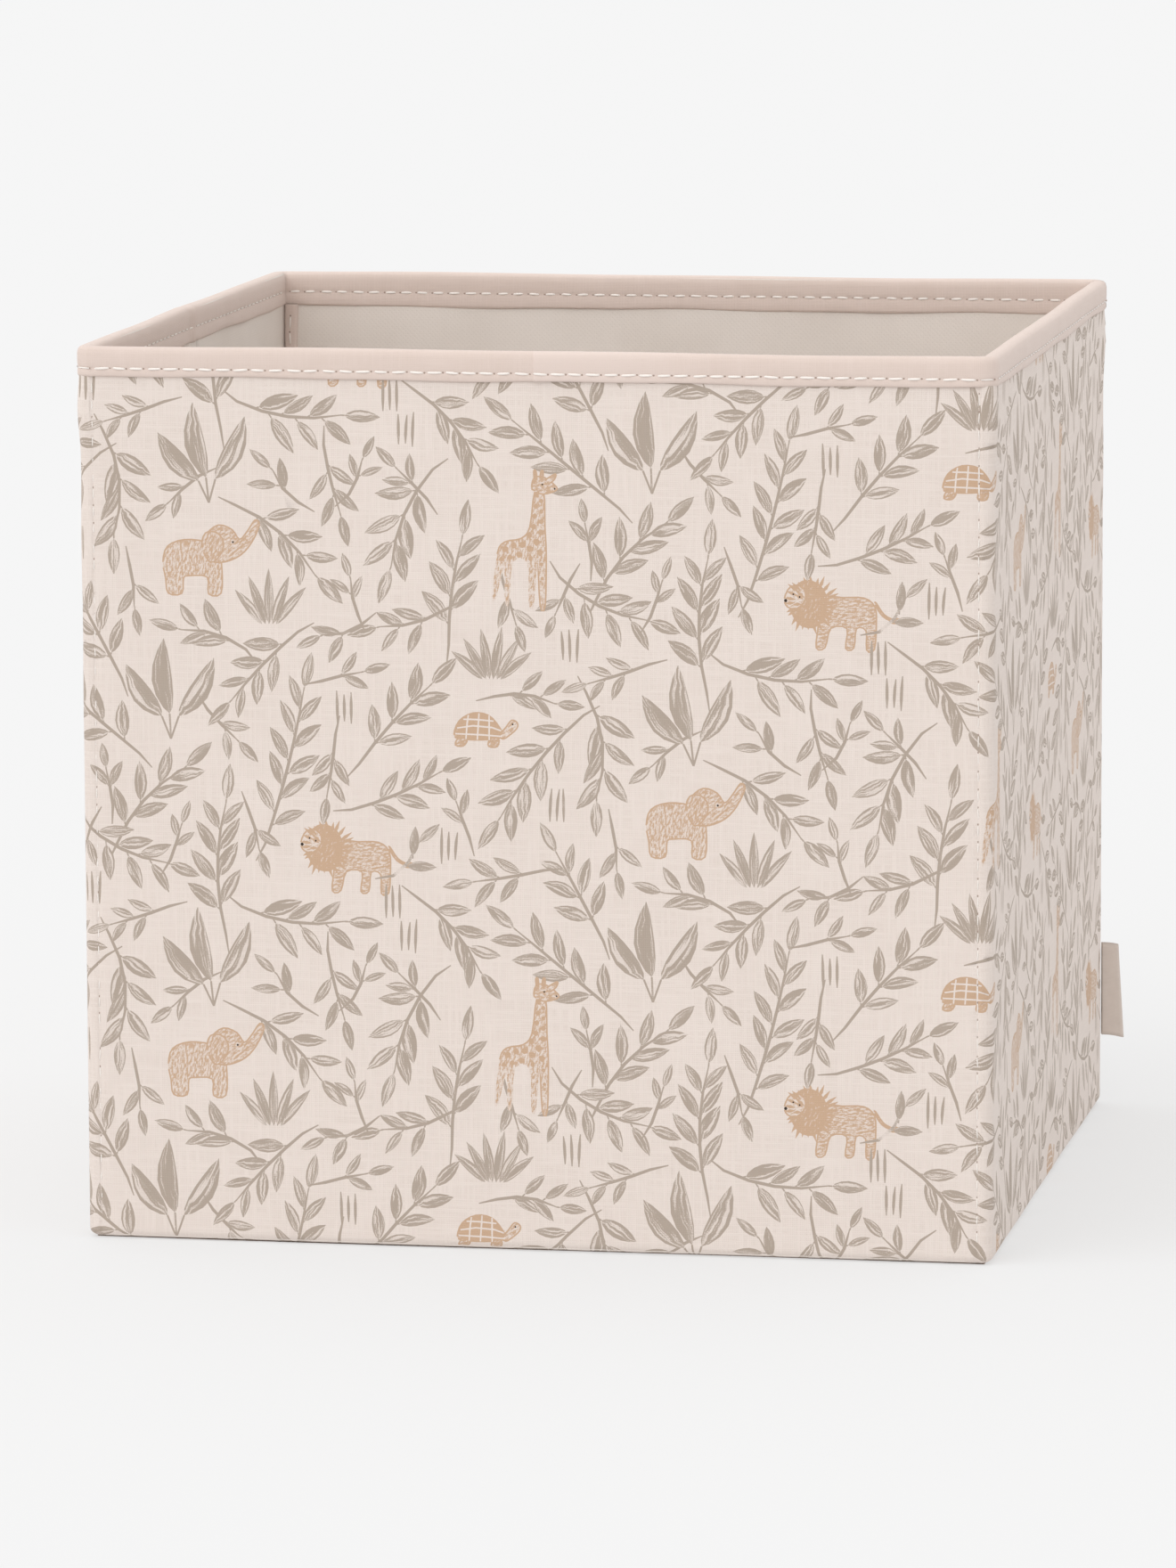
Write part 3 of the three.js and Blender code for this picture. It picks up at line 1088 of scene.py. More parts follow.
@dataclass(frozen=True)
class Animal:
    """A simple drawn animal: closed outlines, and dots for its eye and nose.

    Attributes:
        parts: Outlines in millimetres about the animal's middle, each with how
            densely it is inked, 0 to 1, and the direction of its strokes.
        dots: Centres and radii of dark dots.
        patches: Centres and radii of full-coloured patches of the coat.
        lines: Runs of points left unprinted, as between the plates of a shell.
        tufts: Middles, inner and outer radii and counts of rings of hair.
        clear: Half width and half height kept free of leaves.
    """

    parts: tuple[tuple[tuple[Point2, ...], float, float], ...]
    dots: tuple[tuple[float, float, float], ...]
    clear: Point2
    patches: tuple[tuple[float, float, float], ...] = ()
    lines: tuple[tuple[Point2, ...], ...] = ()
    tufts: tuple[tuple[float, float, float, float, int], ...] = ()

    def motifs(self, cx: float, cy: float) -> list[Motif]:
        """Draws the animal.

        Args:
            cx: Its middle, along the cloth.
            cy: Its middle, up the cloth.

        Returns:
            Its motifs. A later one covers an earlier one.
        """
        made: list[Motif] = []
        rnd = random.Random(len(self.parts) + 10 * len(self.dots))
        for outline, dense, angle in self.parts:
            ca, sa = math.cos(angle), math.sin(angle)
            made.append(Motif(
                [(x + cx, y + cy) for x, y in closed_curve(outline)],
                Ink.ANIMAL,
                lambda x, y, ca=ca, sa=sa, dense=dense: (
                    -(x - cx) * sa + (y - cy) * ca, (x - cx) * ca + (y - cy) * sa, dense),
            ))
            ring = [(x + cx, y + cy) for x, y in closed_curve(outline)]
            made.append(stroke(ring, 0.5, 1.0, Ink.ANIMAL, taper=1.0))
        for x, y, inner, outer, count in self.tufts:
            for k in range(count):
                a = 2 * math.pi * (k + rnd.uniform(-0.3, 0.3)) / count
                far = outer * rnd.uniform(0.85, 1.1)
                line = [toward((cx + x, cy + y), r, a + 0.04 * i)
                        for i, r in enumerate((inner, (inner + far) / 2, far))]
                made.append(stroke(line, 1.15, 1.0, Ink.ANIMAL, 0.1))
        for x, y, r in self.patches:
            ring = [(cx + x + r * rnd.uniform(0.75, 1.15) * math.cos(k * math.pi / 3 + 0.4),
                     cy + y + r * rnd.uniform(0.75, 1.15) * math.sin(k * math.pi / 3 + 0.4))
                    for k in range(6)]
            made.append(Motif(ring, Ink.ANIMAL, lambda x, y: (x, y, 1.0)))
        for line in self.lines:
            made.append(stroke([(x + cx, y + cy) for x, y in line], 0.55, 0.0, Ink.BARE, 0.8))
        for x, y, r in self.dots:
            ring = [toward((cx + x, cy + y), r, k * math.pi / 3) for k in range(6)]
            made.append(Motif(ring, Ink.DARK, lambda x, y: (0.0, 0.0, 1.0)))
        return made


ELEPHANT = Animal(
    (
        (((-13, -2), (-11.5, 3), (-6, 5.2), (1, 4.5), (5, 1), (6, -4), (5.6, -11.6),
          (1.6, -11.8), (1.2, -6.5), (-4.5, -6.2), (-6.4, -7), (-7, -11.8),
          (-11.4, -11.8), (-12.2, -7)), 0.37, 1.35),
        (((0.2, 2), (1.2, 7), (5, 10), (9.4, 8.6), (11.8, 5.6), (14.4, 8.4), (16.8, 11.8),
          (18.2, 10.2), (15.6, 4.6), (12, 0.6), (7, -1.6), (2.4, -1.4)), 0.38, 0.7),
        (((-0.4, 3.2), (0.8, 7.4), (4.4, 7.6), (6.6, 4.6), (5.4, 0.4), (2.2, -1.8)), 0.42, 1.2),
    ),
    ((9.6, 4.7, 0.35),),
    (15, 11),
)
LION = Animal(
    (
        (((-4, 4.4), (3, 4.6), (9.6, 4.6), (13, 1.8), (13.4, -4), (12.8, -11.4),
          (10.4, -11.6), (10.2, -5.6), (7.2, -5), (6.4, -11), (3.8, -11.2), (4.2, -5),
          (-0.8, -5), (-2.6, -11), (-5.4, -11.2), (-4.8, -4.6)), 0.40, 0.2),
        (((-13.8, 2.2), (-12.4, 7.2), (-8.6, 9.8), (-4.2, 8.2), (-2.2, 4), (-3.0, -1.8),
          (-6.4, -4.8), (-11.0, -3.6)), 0.60, 1.0),
        (((-15.4, 4), (-13.4, 7.8), (-9.6, 7.6), (-8.8, 4), (-11.4, 1), (-14.4, 1.4)), 0.22, 0.3),
        (((13, 2.6), (15.4, -1), (18.6, -2.6), (18.8, -2.1), (15.8, -0.4), (13.3, 3.2)), 0.6, 0.0),
        (((18.2, -3), (20.2, -3), (20.4, -1.8), (18.6, -1.7)), 0.8, 0.0),
    ),
    ((-15.0, 3.4, 0.55), (-12.6, 5.4, 0.3), (-10.6, 4.6, 0.3)),
    (16, 10),
    tufts=((-7.4, 2.6, 4.6, 9.0, 26), (-7.0, 2.0, 3.0, 6.4, 17)),
)
GIRAFFE = Animal(
    (
        (((-9, -4.6), (-6.6, -0.8), (-1.4, 0.4), (1.4, 4), (3, 15.2), (5.8, 15.4),
          (6.2, 4), (6.6, -5), (6.2, -20.6), (4.6, -20.6), (3.8, -7.6), (2.6, -20.2),
          (1, -20.2), (0.6, -7.4), (-4, -7.2), (-5.2, -19.6), (-6.6, -19.6),
          (-6.8, -9), (-9.4, -18.4), (-10.6, -18.2)), 0.34, 1.35),
        (((2.2, 15.6), (2.8, 19.4), (6, 19.6), (9.8, 16.8), (9.4, 15.4), (5.6, 14.4)), 0.42, 0.2),
        (((2.9, 19), (2.7, 21.6), (3.4, 21.6), (3.6, 19.2)), 0.7, 1.5),
        (((4.7, 19.2), (5, 21.6), (5.7, 21.5), (5.5, 19)), 0.7, 1.5),
        (((6.2, 18.6), (9.6, 20.8), (9.2, 19), (7.2, 17.6)), 0.35, 0.5),
    ),
    ((5.4, 17.4, 0.3), (9.3, 16.1, 0.3)),
    (8, 19),
    patches=((3.6, 14, 0.85), (5.1, 12.2, 0.8), (3.3, 10.6, 0.9), (5.1, 9, 0.85), (3, 7.4, 0.95),
             (5, 5.8, 0.9), (2.6, 4.2, 1.0), (4.9, 2.4, 1.1), (1.3, 1.4, 1.1), (3.6, -0.6, 1.2),
             (-1, -1.6, 1.2), (1.4, -2.8, 1.2), (-3.8, -1.8, 1.1), (-6.4, -3, 1.0),
             (-2, -4.8, 1.1), (4.6, -3.8, 1.1), (-5, -5.6, 1.0), (1.6, -5.8, 0.9),
             (-7.6, -6.2, 0.9), (5, -7.6, 0.8), (1.8, -10, 0.6), (5.3, -12, 0.6)),
)
TORTOISE = Animal(
    (
        (((-9, -1.8), (-7.4, 2.6), (-3, 5.2), (2, 4.6), (5.4, 1), (6.4, -2.2), (0, -3.2),
          (-7, -3)), 0.74, 0.4),
        (((5.6, -1.6), (7.6, 1), (9.4, 3.2), (11.2, 2.4), (11, 0.6), (8.6, -1.6),
          (6.6, -2.8)), 0.34, 0.8),
        (((-7.6, -2.8), (-8.6, -5), (-6, -5.2), (-4.8, -3.1)), 0.5, 0.6),
        (((2.4, -3), (2, -5.2), (4.8, -5.2), (5.2, -2.6)), 0.5, 0.6),
    ),
    ((9.7, 1.9, 0.3),),
    (10.5, 5.5),
    lines=(((-8, 0.4), (-3, 1.2), (3, 0.8), (6, -0.2)), ((-6, 3.2), (-2, 3.2), (3.6, 2.8)),
           ((-4.4, 4.6), (-4.8, 2), (-5.2, -3)), ((-1, 5.2), (-1.2, 2), (-1.6, -3.2)),
           ((2.2, 4.6), (2.2, 1), (2.2, -3.2)), ((-8.6, -1.4), (0, -1.6), (6.2, -2))),
)


@dataclass
class Print:
    """The half-drop repeat of leaves and animals.

    Attributes:
        column: Distance between columns of the repeat.
        repeat: Height of the repeat. The next column is half of it lower.
        seed: Seed of the sprigs' places.
        motifs: The motifs of one repeat, once drawn.
        taken: Ellipses that hold a motif, by cell of cloth.
        cell: Width and height of a cell.
        tile: How many steps of the mesh grid are cut at a time.
        margin: The most room that can be asked for round a point.
        animals: Each animal with the place of its middle.
    """

    column: float = 154.0
    repeat: float = 160.0
    seed: int = 8
    motifs: list[Motif] = field(default_factory=list)
    taken: dict[tuple[int, int], list[tuple[float, float, float, float]]] = field(
        default_factory=dict)
    cell: float = 12.0
    tile: int = 4
    margin: float = 6.0

    animals: tuple[tuple[Animal, float, float], ...] = (
        (ELEPHANT, -105.0, 59.0),
        (LION, 95.0, 45.0),
        (GIRAFFE, -2.0, 66.0),
        (TORTOISE, 138.0, 86.0),
    )

    def keep_clear(self, x: float, y: float, rx: float, ry: float) -> None:
        """Marks an ellipse as taken, in every cell of the repeat that it reaches.

        Args:
            x: Its middle along the cloth.
            y: Its middle up the cloth.
            rx: Half its width.
            ry: Half its height.
        """
        x, y = self.home(x, y)
        for i in (-1, 0, 1):
            for j in (-2, -1, 0, 1, 2):
                a = x + i * self.column
                b = y - i * self.repeat / 2 + j * self.repeat
                across, up = (
                    range(int((at - reach) // self.cell), int((at + reach) // self.cell) + 1)
                    for at, reach in ((a, rx + self.margin), (b, ry + self.margin)))
                for cx in across:
                    for cy in up:
                        self.taken.setdefault((cx, cy), []).append((a, b, rx, ry))

    def home(self, x: float, y: float) -> Point2:
        """The same place of the pattern in the first column of the repeat."""
        i = round(x / self.column)
        return x - i * self.column, (y + i * self.repeat / 2) % self.repeat

    def free(self, x: float, y: float, room: float) -> bool:
        """Whether a point has room round it.

        Args:
            x: Its place along the cloth.
            y: Its place up the cloth.
            room: How much room is wanted, no more than the margin.

        Returns:
            Whether nothing is that near.
        """
        x, y = self.home(x, y)
        near = self.taken.get((int(x // self.cell), int(y // self.cell)), ())
        return all(((x - a) / (rx + room)) ** 2 + ((y - b) / (ry + room)) ** 2 >= 1
                   for a, b, rx, ry in near)

    def sprig(self, rnd: random.Random, x: float, y: float, heading: float,
              length: float, curl: float, size: float) -> bool:
        """Tries to draw a curved stem with pairs of leaves.

        Args:
            rnd: Source of its unevenness.
            x: Where the stem starts, along the cloth.
            y: Where it starts, up the cloth.
            heading: Direction that it starts in.
            length: Its length.
            curl: How far it turns on the way.
            size: Size of its leaves, 1 being usual.

        Returns:
            Whether there was room for it.
        """
        step = 7.7 * size
        count = int(length / step)
        spine = [(x, y)]
        angle = heading
        for _ in range(count + 1):
            angle += curl / (count + 1)
            spine.append(toward(spine[-1], step, angle))
        leaves: list[tuple[Point2, float, float, float]] = []
        angle = heading
        shift = rnd.uniform(-0.3, 0.3) * step
        for i in range(1, count + 1):
            angle += curl / (count + 1)
            t = i / (count + 1)
            long = size * (12.6 - 3.0 * abs(t - 0.4)) * rnd.uniform(0.88, 1.1)
            spread = math.radians(rnd.uniform(36, 50)) * (1.05 - 0.3 * t)
            for side in (1, -1):
                joint = toward(spine[i], shift * side, angle)
                leaves.append((joint, angle + side * spread, long, side))
        leaves.append((spine[-1], angle, size * 11.5, 0))
        spots = [toward(joint, share * long, a)
                 for joint, a, long, _ in leaves for share in (0.35, 0.65, 0.95)]
        if not all(self.free(mx, my, 1.65 * size) for mx, my in spots):
            return False
        if not all(self.free(sx, sy, 0.4) for sx, sy in spine):
            return False
        for joint, a, long, side in leaves:
            wide = long * rnd.uniform(0.29, 0.35)
            stalk = 0.10 * long
            base = toward(joint, stalk, a)
            self.motifs.append(leaf(base, a, long - stalk, wide, rnd.random(),
                                    rib=-0.05 * side * rnd.random()))
            self.motifs.append(stroke([joint, base], 0.6, rnd.random(), taper=0.8))
            reach = 0.30 * long
            middle = toward(joint, 0.55 * long, a)
            for k in (-1, 0, 1):
                self.keep_clear(*toward(middle, k * reach, a), 1.55, 1.55)
        for sx, sy in spine:
            self.keep_clear(sx, sy, 1.0, 1.0)
        tail = [toward((x, y), -6, heading - 0.15)]
        self.motifs.append(stroke(tail + spine, 1.05, rnd.random()))
        return True

    def plant(self, rnd: random.Random, x: float, y: float, lean: float) -> None:
        """Draws a broad plant of three large leaves.

        Args:
            rnd: Source of its unevenness.
            x: Its foot, along the cloth.
            y: Its foot, up the cloth.
            lean: How far it leans.
        """
        for spread, long in ((0.12, 24.0), (0.66, 20.0), (-0.5, 22.0)):
            a = math.pi / 2 + lean + spread
            base = toward((x, y), 5, a)
            self.motifs.append(leaf(base, a, long, 6.6, rnd.random(),
                                    rib=math.copysign(0.07, spread)))
            self.motifs.append(stroke([(x, y - 3), base], 0.9, rnd.random(), taper=0.7))
            for k in (0.3, 0.6, 0.9):
                self.keep_clear(*toward(base, k * long, a), 3.4, 3.4)
        self.keep_clear(x, y, 2.0, 4.0)

    def tuft(self, rnd: random.Random, x: float, y: float, blades: int) -> None:
        """Draws a tuft of pointed blades.

        Args:
            rnd: Source of its unevenness.
            x: Its foot, along the cloth.
            y: Its foot, up the cloth.
            blades: How many there are.
        """
        for i in range(blades):
            fan = (i - (blades - 1) / 2) * 0.34
            a = math.pi / 2 - fan
            long = 18 - 5 * abs(fan) + rnd.uniform(-1, 1)
            self.motifs.append(leaf((x + 3.4 * fan, y), a, long, 3.1, rnd.random(), rib=0.04 * fan))
        self.keep_clear(x, y + 7, 8.5, 8.0)

    def ticks(self, rnd: random.Random, x: float, y: float, count: int) -> None:
        """Draws a few upright strokes of grass.

        Args:
            rnd: Source of their unevenness.
            x: Their middle, along the cloth.
            y: Their middle, up the cloth.
            count: How many there are.
        """
        for i in range(count):
            px = x + (i - (count - 1) / 2) * 2.2
            long = rnd.uniform(8.5, 12.0)
            lean = rnd.uniform(-0.6, 0.9)
            line = [(px + lean * t * t, y - long / 2 + long * t) for t in (0, 0.33, 0.66, 1)]
            self.motifs.append(stroke(line, 1.0, rnd.random()))
        self.keep_clear(x, y, 4.5, 6.0)

    def draw(self) -> None:
        """Lays out one repeat: animals, plants, tufts and grass, then sprigs."""
        rnd = random.Random(self.seed)
        for animal, x, y in self.animals:
            self.keep_clear(x, y, *animal.clear)
        self.plant(rnd, -103.0, 79.0, 0.05)
        self.plant(rnd, 38.0, 84.0, -0.05)
        self.tuft(rnd, -13.0, 22.0, 6)
        self.tuft(rnd, 70.0, 118.0, 5)
        for x, y, n in ((12, 33, 3), (62, 20, 4), (-40, 100, 3), (127, 49, 3), (-60, 12, 3)):
            if self.free(x, y, 3.0):
                self.ticks(rnd, x, y, n)
        for size, tries, lengths in ((1.1, 1500, (46, 38, 30)), (1.0, 4000, (42, 34, 26)),
                                     (0.95, 5000, (26, 17)), (0.85, 6000, (17, 10)),
                                     (0.75, 6000, (9,))):
            for _ in range(tries):
                x, y = rnd.uniform(-77, 77), rnd.uniform(0, 160)
                heading = rnd.choice((1, -1)) * rnd.uniform(0.2, 2.9)
                length = rnd.choice(lengths)
                self.sprig(rnd, x, y, heading, length, rnd.uniform(-0.9, 0.9), size)
        for _ in range(120):
            x, y = rnd.uniform(-77, 77), rnd.uniform(0, 160)
            if self.free(x, y, 4.2):
                self.ticks(rnd, x, y, 3)
        for animal, x, y in self.animals:
            self.motifs += animal.motifs(x, y)

    def within(self, s0: float, s1: float, v0: float, v1: float) -> list[Motif]:
        """The motifs of every repeat that reach into a rectangle of cloth.

        Args:
            s0: Where it starts along the cloth.
            s1: Where it ends.
            v0: Its lower edge.
            v1: Its upper edge.

        Returns:
            The motifs, in the order that they are printed.
        """
        found = []
        first = math.floor((s0 - 200) / self.column)
        last = math.ceil((s1 + 200) / self.column)
        for i in range(first, last + 1):
            for j in range(-6 - abs(i), 7 + abs(i)):
                dx = i * self.column
                dy = -i * self.repeat / 2 + j * self.repeat
                for m in self.motifs:
                    x0, x1, y0, y1 = m.box
                    if x1 + dx > s0 and x0 + dx < s1 and y1 + dy > v0 and y0 + dy < v1:
                        found.append(m.moved(dx, dy))
        return found

    def cut(self, us: list[float], vs: list[float], motifs: list[Motif]
            ) -> Iterable[tuple[list[Vector], Motif | None, Vector]]:
        """Cuts the outlines of motifs into one tile of the cloth.

        Args:
            us: The grid's places across the tile.
            vs: The grid's places up the tile.
            motifs: All that may reach into it.

        Yields:
            The corners of each face, the motif it belongs to, and its middle.
        """
        coords: list[Point2] = [(u, v) for u in us for v in vs]
        m, n = len(us), len(vs)
        edges = []
        for j in range(n):
            if j in (0, n - 1) or vs[j] < 5:
                edges += [(i * n + j, (i + 1) * n + j) for i in range(m - 1)]
        for i in (0, m - 1):
            edges += [(i * n + j, i * n + j + 1) for j in range(n - 1)]
        loops: list[list[int]] = [[0, (m - 1) * n, m * n - 1, n - 1]]
        near = [k for k in motifs if k.box[1] > us[0] and k.box[0] < us[-1]
                and k.box[3] > vs[0] and k.box[2] < vs[-1]]
        for motif in near:
            start = len(coords)
            coords += motif.counter_clockwise
            loops.append(list(range(start, len(coords))))
        verts, _, faces, _, _, owners = delaunay_2d_cdt(
            [Vector(c) for c in coords], edges, loops, 0, 1e-4, True)
        for corners, owner in zip(faces, owners):
            if 0 not in owner:
                continue
            ring = [verts[c] for c in corners]
            which = max(owner)
            yield ring, near[which - 1] if which else None, sum(ring, Vector((0, 0))) / len(ring)

    def panel(self, name: str, s0: float, s1: float, v0: float, v1: float,
              at: Surface, mesh_step: float = 7.0,
              rows: Sequence[float] = ()) -> bpy.types.Object:
        """Makes a piece of printed cloth, its motifs cut into the mesh.

        Args:
            name: The piece's name.
            s0: Where it starts along the cloth.
            s1: Where it ends.
            v0: Its lower edge on the cloth.
            v1: Its upper edge.
            at: Gives the point in space for a place on the cloth.
            mesh_step: Spacing of the grid between motifs.
            rows: Further places along the cloth where the mesh is cut.

        Returns:
            The object.
        """
        us = sorted({*stations(s0, s1, mesh_step), *(r for r in rows if s0 < r < s1)})
        turned = [v for v in (-1.2, -0.4, 0.4, 1.2, 2.1, 3.0, 4.5) if v0 < v < v1]
        vs = sorted({v0, *turned, *(v for v in stations(v0, v1, mesh_step) if v > 5), v1})
        maker = Maker()
        inks: list[float] = []
        local: list[float] = []
        kept: dict[Point2, int] = {}
        motifs = self.within(s0, s1, v0, v1)
        for a in range(0, len(us) - 1, self.tile):
            for b in range(0, len(vs) - 1, self.tile):
                across, along = us[a:a + self.tile + 1], vs[b:b + self.tile + 1]
                for ring, motif, middle in self.cut(across, along, motifs):
                    corners = []
                    for x, y in ring:
                        key = (round(x, 3), round(y, 3))
                        if key not in kept:
                            x, y = min(max(x, s0), s1), min(max(y, v0), v1)
                            kept[key] = maker.vertex(at(x, y), (x, y))
                        corners.append(kept[key])
                        x, y = x * 0.98 + middle.x * 0.02, y * 0.98 + middle.y * 0.02
                        inks += motif.ink.value if motif else Ink.BARE.value
                        local += motif.local(x, y) if motif else (0.0, 0.0, 0.0)
                    if len(set(corners)) < len(corners):
                        inks, local = inks[:-3 * len(corners)], local[:-3 * len(corners)]
                        continue
                    maker.face(corners)
        made = maker.build(name, [PRINT])
        mesh = made.data
        ink = mesh.attributes.new("ink", "FLOAT_VECTOR", "CORNER")
        ink.data.foreach_set("vector", inks)
        spot = mesh.attributes.new("motif", "FLOAT_VECTOR", "CORNER")
        spot.data.foreach_set("vector", local)
        return made


# ---- stitching


@dataclass
class Stitching:
    """A row of lockstitches, each a short length of thread between two holes.

    Attributes:
        length: Length of the thread that shows.
        width: Its width.
        height: How far it stands off the cloth.
        hole: Radius of a needle hole, drawn as a dark disc of painted shade.
        sides: Sides of the thread and of the hole.
        maker: What the stitches are collected in.
    """

    length: float = 4.5
    width: float = 0.78
    height: float = 0.34
    hole: float = 0.34
    sides: int = 6
    maker: Maker = field(default_factory=Maker)

    def stitch(self, middle: Vector, along: Vector, out: Vector, length: float) -> None:
        """Adds one stitch, its ends sunk into the cloth, and the hole after it as a dark disc of painted shade.

        Args:
            middle: Its middle, on the cloth.
            along: Direction of the thread.
            out: Direction out of the cloth.
            length: Its length.
        """
        across = along.cross(out).normalized()
        rings = []
        for t, lift, wide in ((-0.5, -0.35, 0.35), (-0.40, 0.35, 0.85), (-0.15, 0.95, 1.0),
                              (0.15, 0.95, 1.0), (0.40, 0.35, 0.85), (0.5, -0.35, 0.35)):
            centre = middle + along * (t * length) + out * (lift * self.height * 0.8)
            ring = []
            for k in range(self.sides):
                a = 2 * k * math.pi / self.sides
                p = centre + across * (math.cos(a) * wide * self.width / 2) + out * (
                    math.sin(a) * wide * self.height * 0.7)
                ring.append(self.maker.vertex(p, (t * length, a)))
            rings.append(ring)
        for r0, r1 in zip(rings, rings[1:]):
            for k in range(self.sides):
                n = (k + 1) % self.sides
                self.maker.face((r0[k], r1[k], r1[n], r0[n]))
        self.maker.face(rings[0])
        self.maker.face(rings[-1][::-1])
        # The needle hole: a flat disc in the darker thread finish, painted shade for the hole.
        hole = middle + along * (length * 0.5 + 0.35) + out * 0.05
        turns = [2 * k * math.pi / self.sides for k in range(self.sides)]
        ring = [self.maker.vertex(hole + along * (self.hole * math.cos(a))
                                  + across * (self.hole * math.sin(a)), (0, 0)) for a in turns]
        self.maker.face(ring, 1)

    def row(self, at: Callable[[float], Point3], start: float, end: float,
            normal: Callable[[float], Vector], rnd: random.Random) -> None:
        """Adds stitches at an even pitch from start to end along a line.

        Args:
            at: Gives the point on the cloth for a distance along the row.
            start: First distance.
            end: Last distance.
            normal: Gives the direction out of the cloth.
            rnd: Source of the small unevenness of sewing.
        """
        count = max(1, round((end - start) / STITCH_PITCH))
        pitch = (end - start) / count
        for i in range(count):
            s = start + (i + 0.5) * pitch + rnd.uniform(-0.25, 0.25)
            a, b = Vector(at(s - 1.5)), Vector(at(s + 1.5))
            along = (b - a).normalized()
            out = normal(s)
            skew = along.cross(out) * rnd.uniform(-0.07, 0.07)
            size = self.length * rnd.uniform(0.9, 1.06)
            self.stitch(Vector(at(s)), (along + skew).normalized(), out, size)

    def build(self, name: str) -> bpy.types.Object:
        """Makes the row's object."""
        return self.maker.build(name, [THREAD, HOLE_SHADE])


# ---- the bin


class Part(Enum):
    """The stiff panels and the soft strips between them, in order from the seam.

    Each holds its bodies, and where it starts and ends: a wall and a distance
    along that wall from its middle. A strip has two bodies and bends between.
    """

    BACK = (("back",), -2, -(SIDE_REACH + 6.5), SIDE_REACH)
    REAR_LEFT_CORNER = (("back", "left_rear"), -2, SIDE_REACH, None)
    LEFT_REAR = (("left_rear",), -1, -HALF + 9.0, -FOLD_Y - FOLD_HALF)
    LEFT_FOLD = (("left_rear", "left_front"), -1, -FOLD_Y - FOLD_HALF, -FOLD_Y + FOLD_HALF)
    LEFT_FRONT = (("left_front",), -1, -FOLD_Y + FOLD_HALF, HALF - 9.0)
    FRONT_LEFT_CORNER = (("left_front", "front"), -1, HALF - 9.0, None)
    FRONT = (("front",), 0, -SIDE_REACH, SIDE_REACH)
    FRONT_RIGHT_CORNER = (("front", "right_front"), 0, SIDE_REACH, None)
    RIGHT_FRONT = (("right_front",), 1, -HALF + 9.0, FOLD_Y - FOLD_HALF)
    RIGHT_FOLD = (("right_front", "right_rear"), 1, FOLD_Y - FOLD_HALF, FOLD_Y + FOLD_HALF)
    RIGHT_REAR = (("right_rear",), 1, FOLD_Y + FOLD_HALF, 140.75)

    @property
    def bodies(self) -> tuple[str, ...]:
        """The bodies that the part rides on or bends between."""
        return self.value[0]

    @property
    def title(self) -> str:
        """The part's name in lower case."""
        return self.name.lower()

    def span(self, turn: float) -> Point2:
        """Where the part starts and ends along cloth with a corner radius.

        Args:
            turn: The corner radius at the outer face.

        Returns:
            Start and end, measured from the middle of the front.
        """
        _, wall, start, end = self.value
        shift = COVER_TURN - turn
        length = side_run(turn)

        def fitted(u: float) -> float:
            """Moves an end at a wall's corner to where this cloth's corner is."""
            return math.copysign(abs(u) + shift, u) if abs(u) == SIDE_REACH else u

        if self is Part.RIGHT_REAR:
            return length + start, length + min(end, HALF - turn)
        if self is Part.BACK:
            quarter = turn * math.pi / 2
            return -2 * length - (HALF - turn) - quarter, -2 * length + fitted(end)
        if end is None:
            later = list(Part)[list(Part).index(self) + 1]
            return wall * length + fitted(start), later.span(turn)[0]
        return wall * length + fitted(start), wall * length + fitted(end)

    def attach(self, piece: bpy.types.Object, at: Callable[[float], Point3], turn: float) -> None:
        """Rides the piece on its body, or bends it between its two bodies.

        Args:
            piece: The piece.
            at: Gives a point on it for a distance round the bin.
            turn: The cloth's corner radius.
        """
        if len(self.bodies) == 1:
            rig.ride(piece, self.bodies[0])
            return
        start, end = self.span(turn)
        ends = [tuple(c * MM for c in at(s)) for s in (start, end)]
        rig.blend(piece, *self.bodies, start=ends[0], end=ends[1])

    @classmethod
    def stiff(cls) -> list["Part"]:
        """The six parts that hold a board."""
        return [p for p in cls if len(p.bodies) == 1]


def declare(sheets: list[Sheet], height: float, held: str) -> None:
    """Declares a row of cloths round the bin.

    Args:
        sheets: Each piece, the body whose board it rests on, its flat width
            in millimetres, and the strips that go on from it.
        height: Their flat height.
        held: How they are held.
    """
    for piece, body, width, strips in sheets:
        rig.sheet(piece, (width * MM, height * MM), held, rests_on=[f"{body}_board"],
                 with_pieces=strips)


def sewn_corners() -> Iterable[tuple[Wall, int, str]]:
    """Goes through the corners of the front and back walls.

    Yields:
        The wall, which side of its middle it is on, and the corner's name.
    """
    for wall in (Wall.FRONT, Wall.BACK):
        for sign in (-1, 1):
            right = (sign > 0) == (wall is Wall.FRONT)
            yield wall, sign, f"{wall.name.lower()}_{'right' if right else 'left'}"


def round_bin(s: float, z: float, d: float, turn: float = COVER_TURN) -> Point3:
    """A point at a distance round the bin from the middle of the front."""
    return place(Wall.FRONT, s, z, d, turn)


def out_of_wall(at: Surface, s: float, z: float) -> Vector:
    """The direction out of a surface.

    Args:
        at: Gives a point on it.
        s: Distance along it.
        z: Height, or distance up it.

    Returns:
        A unit vector.
    """
    a, b = Vector(at(s - 0.8, z)), Vector(at(s + 0.8, z))
    c, d = Vector(at(s, z - 0.8)), Vector(at(s, z + 0.8))
    return (b - a).cross(d - c).normalized()


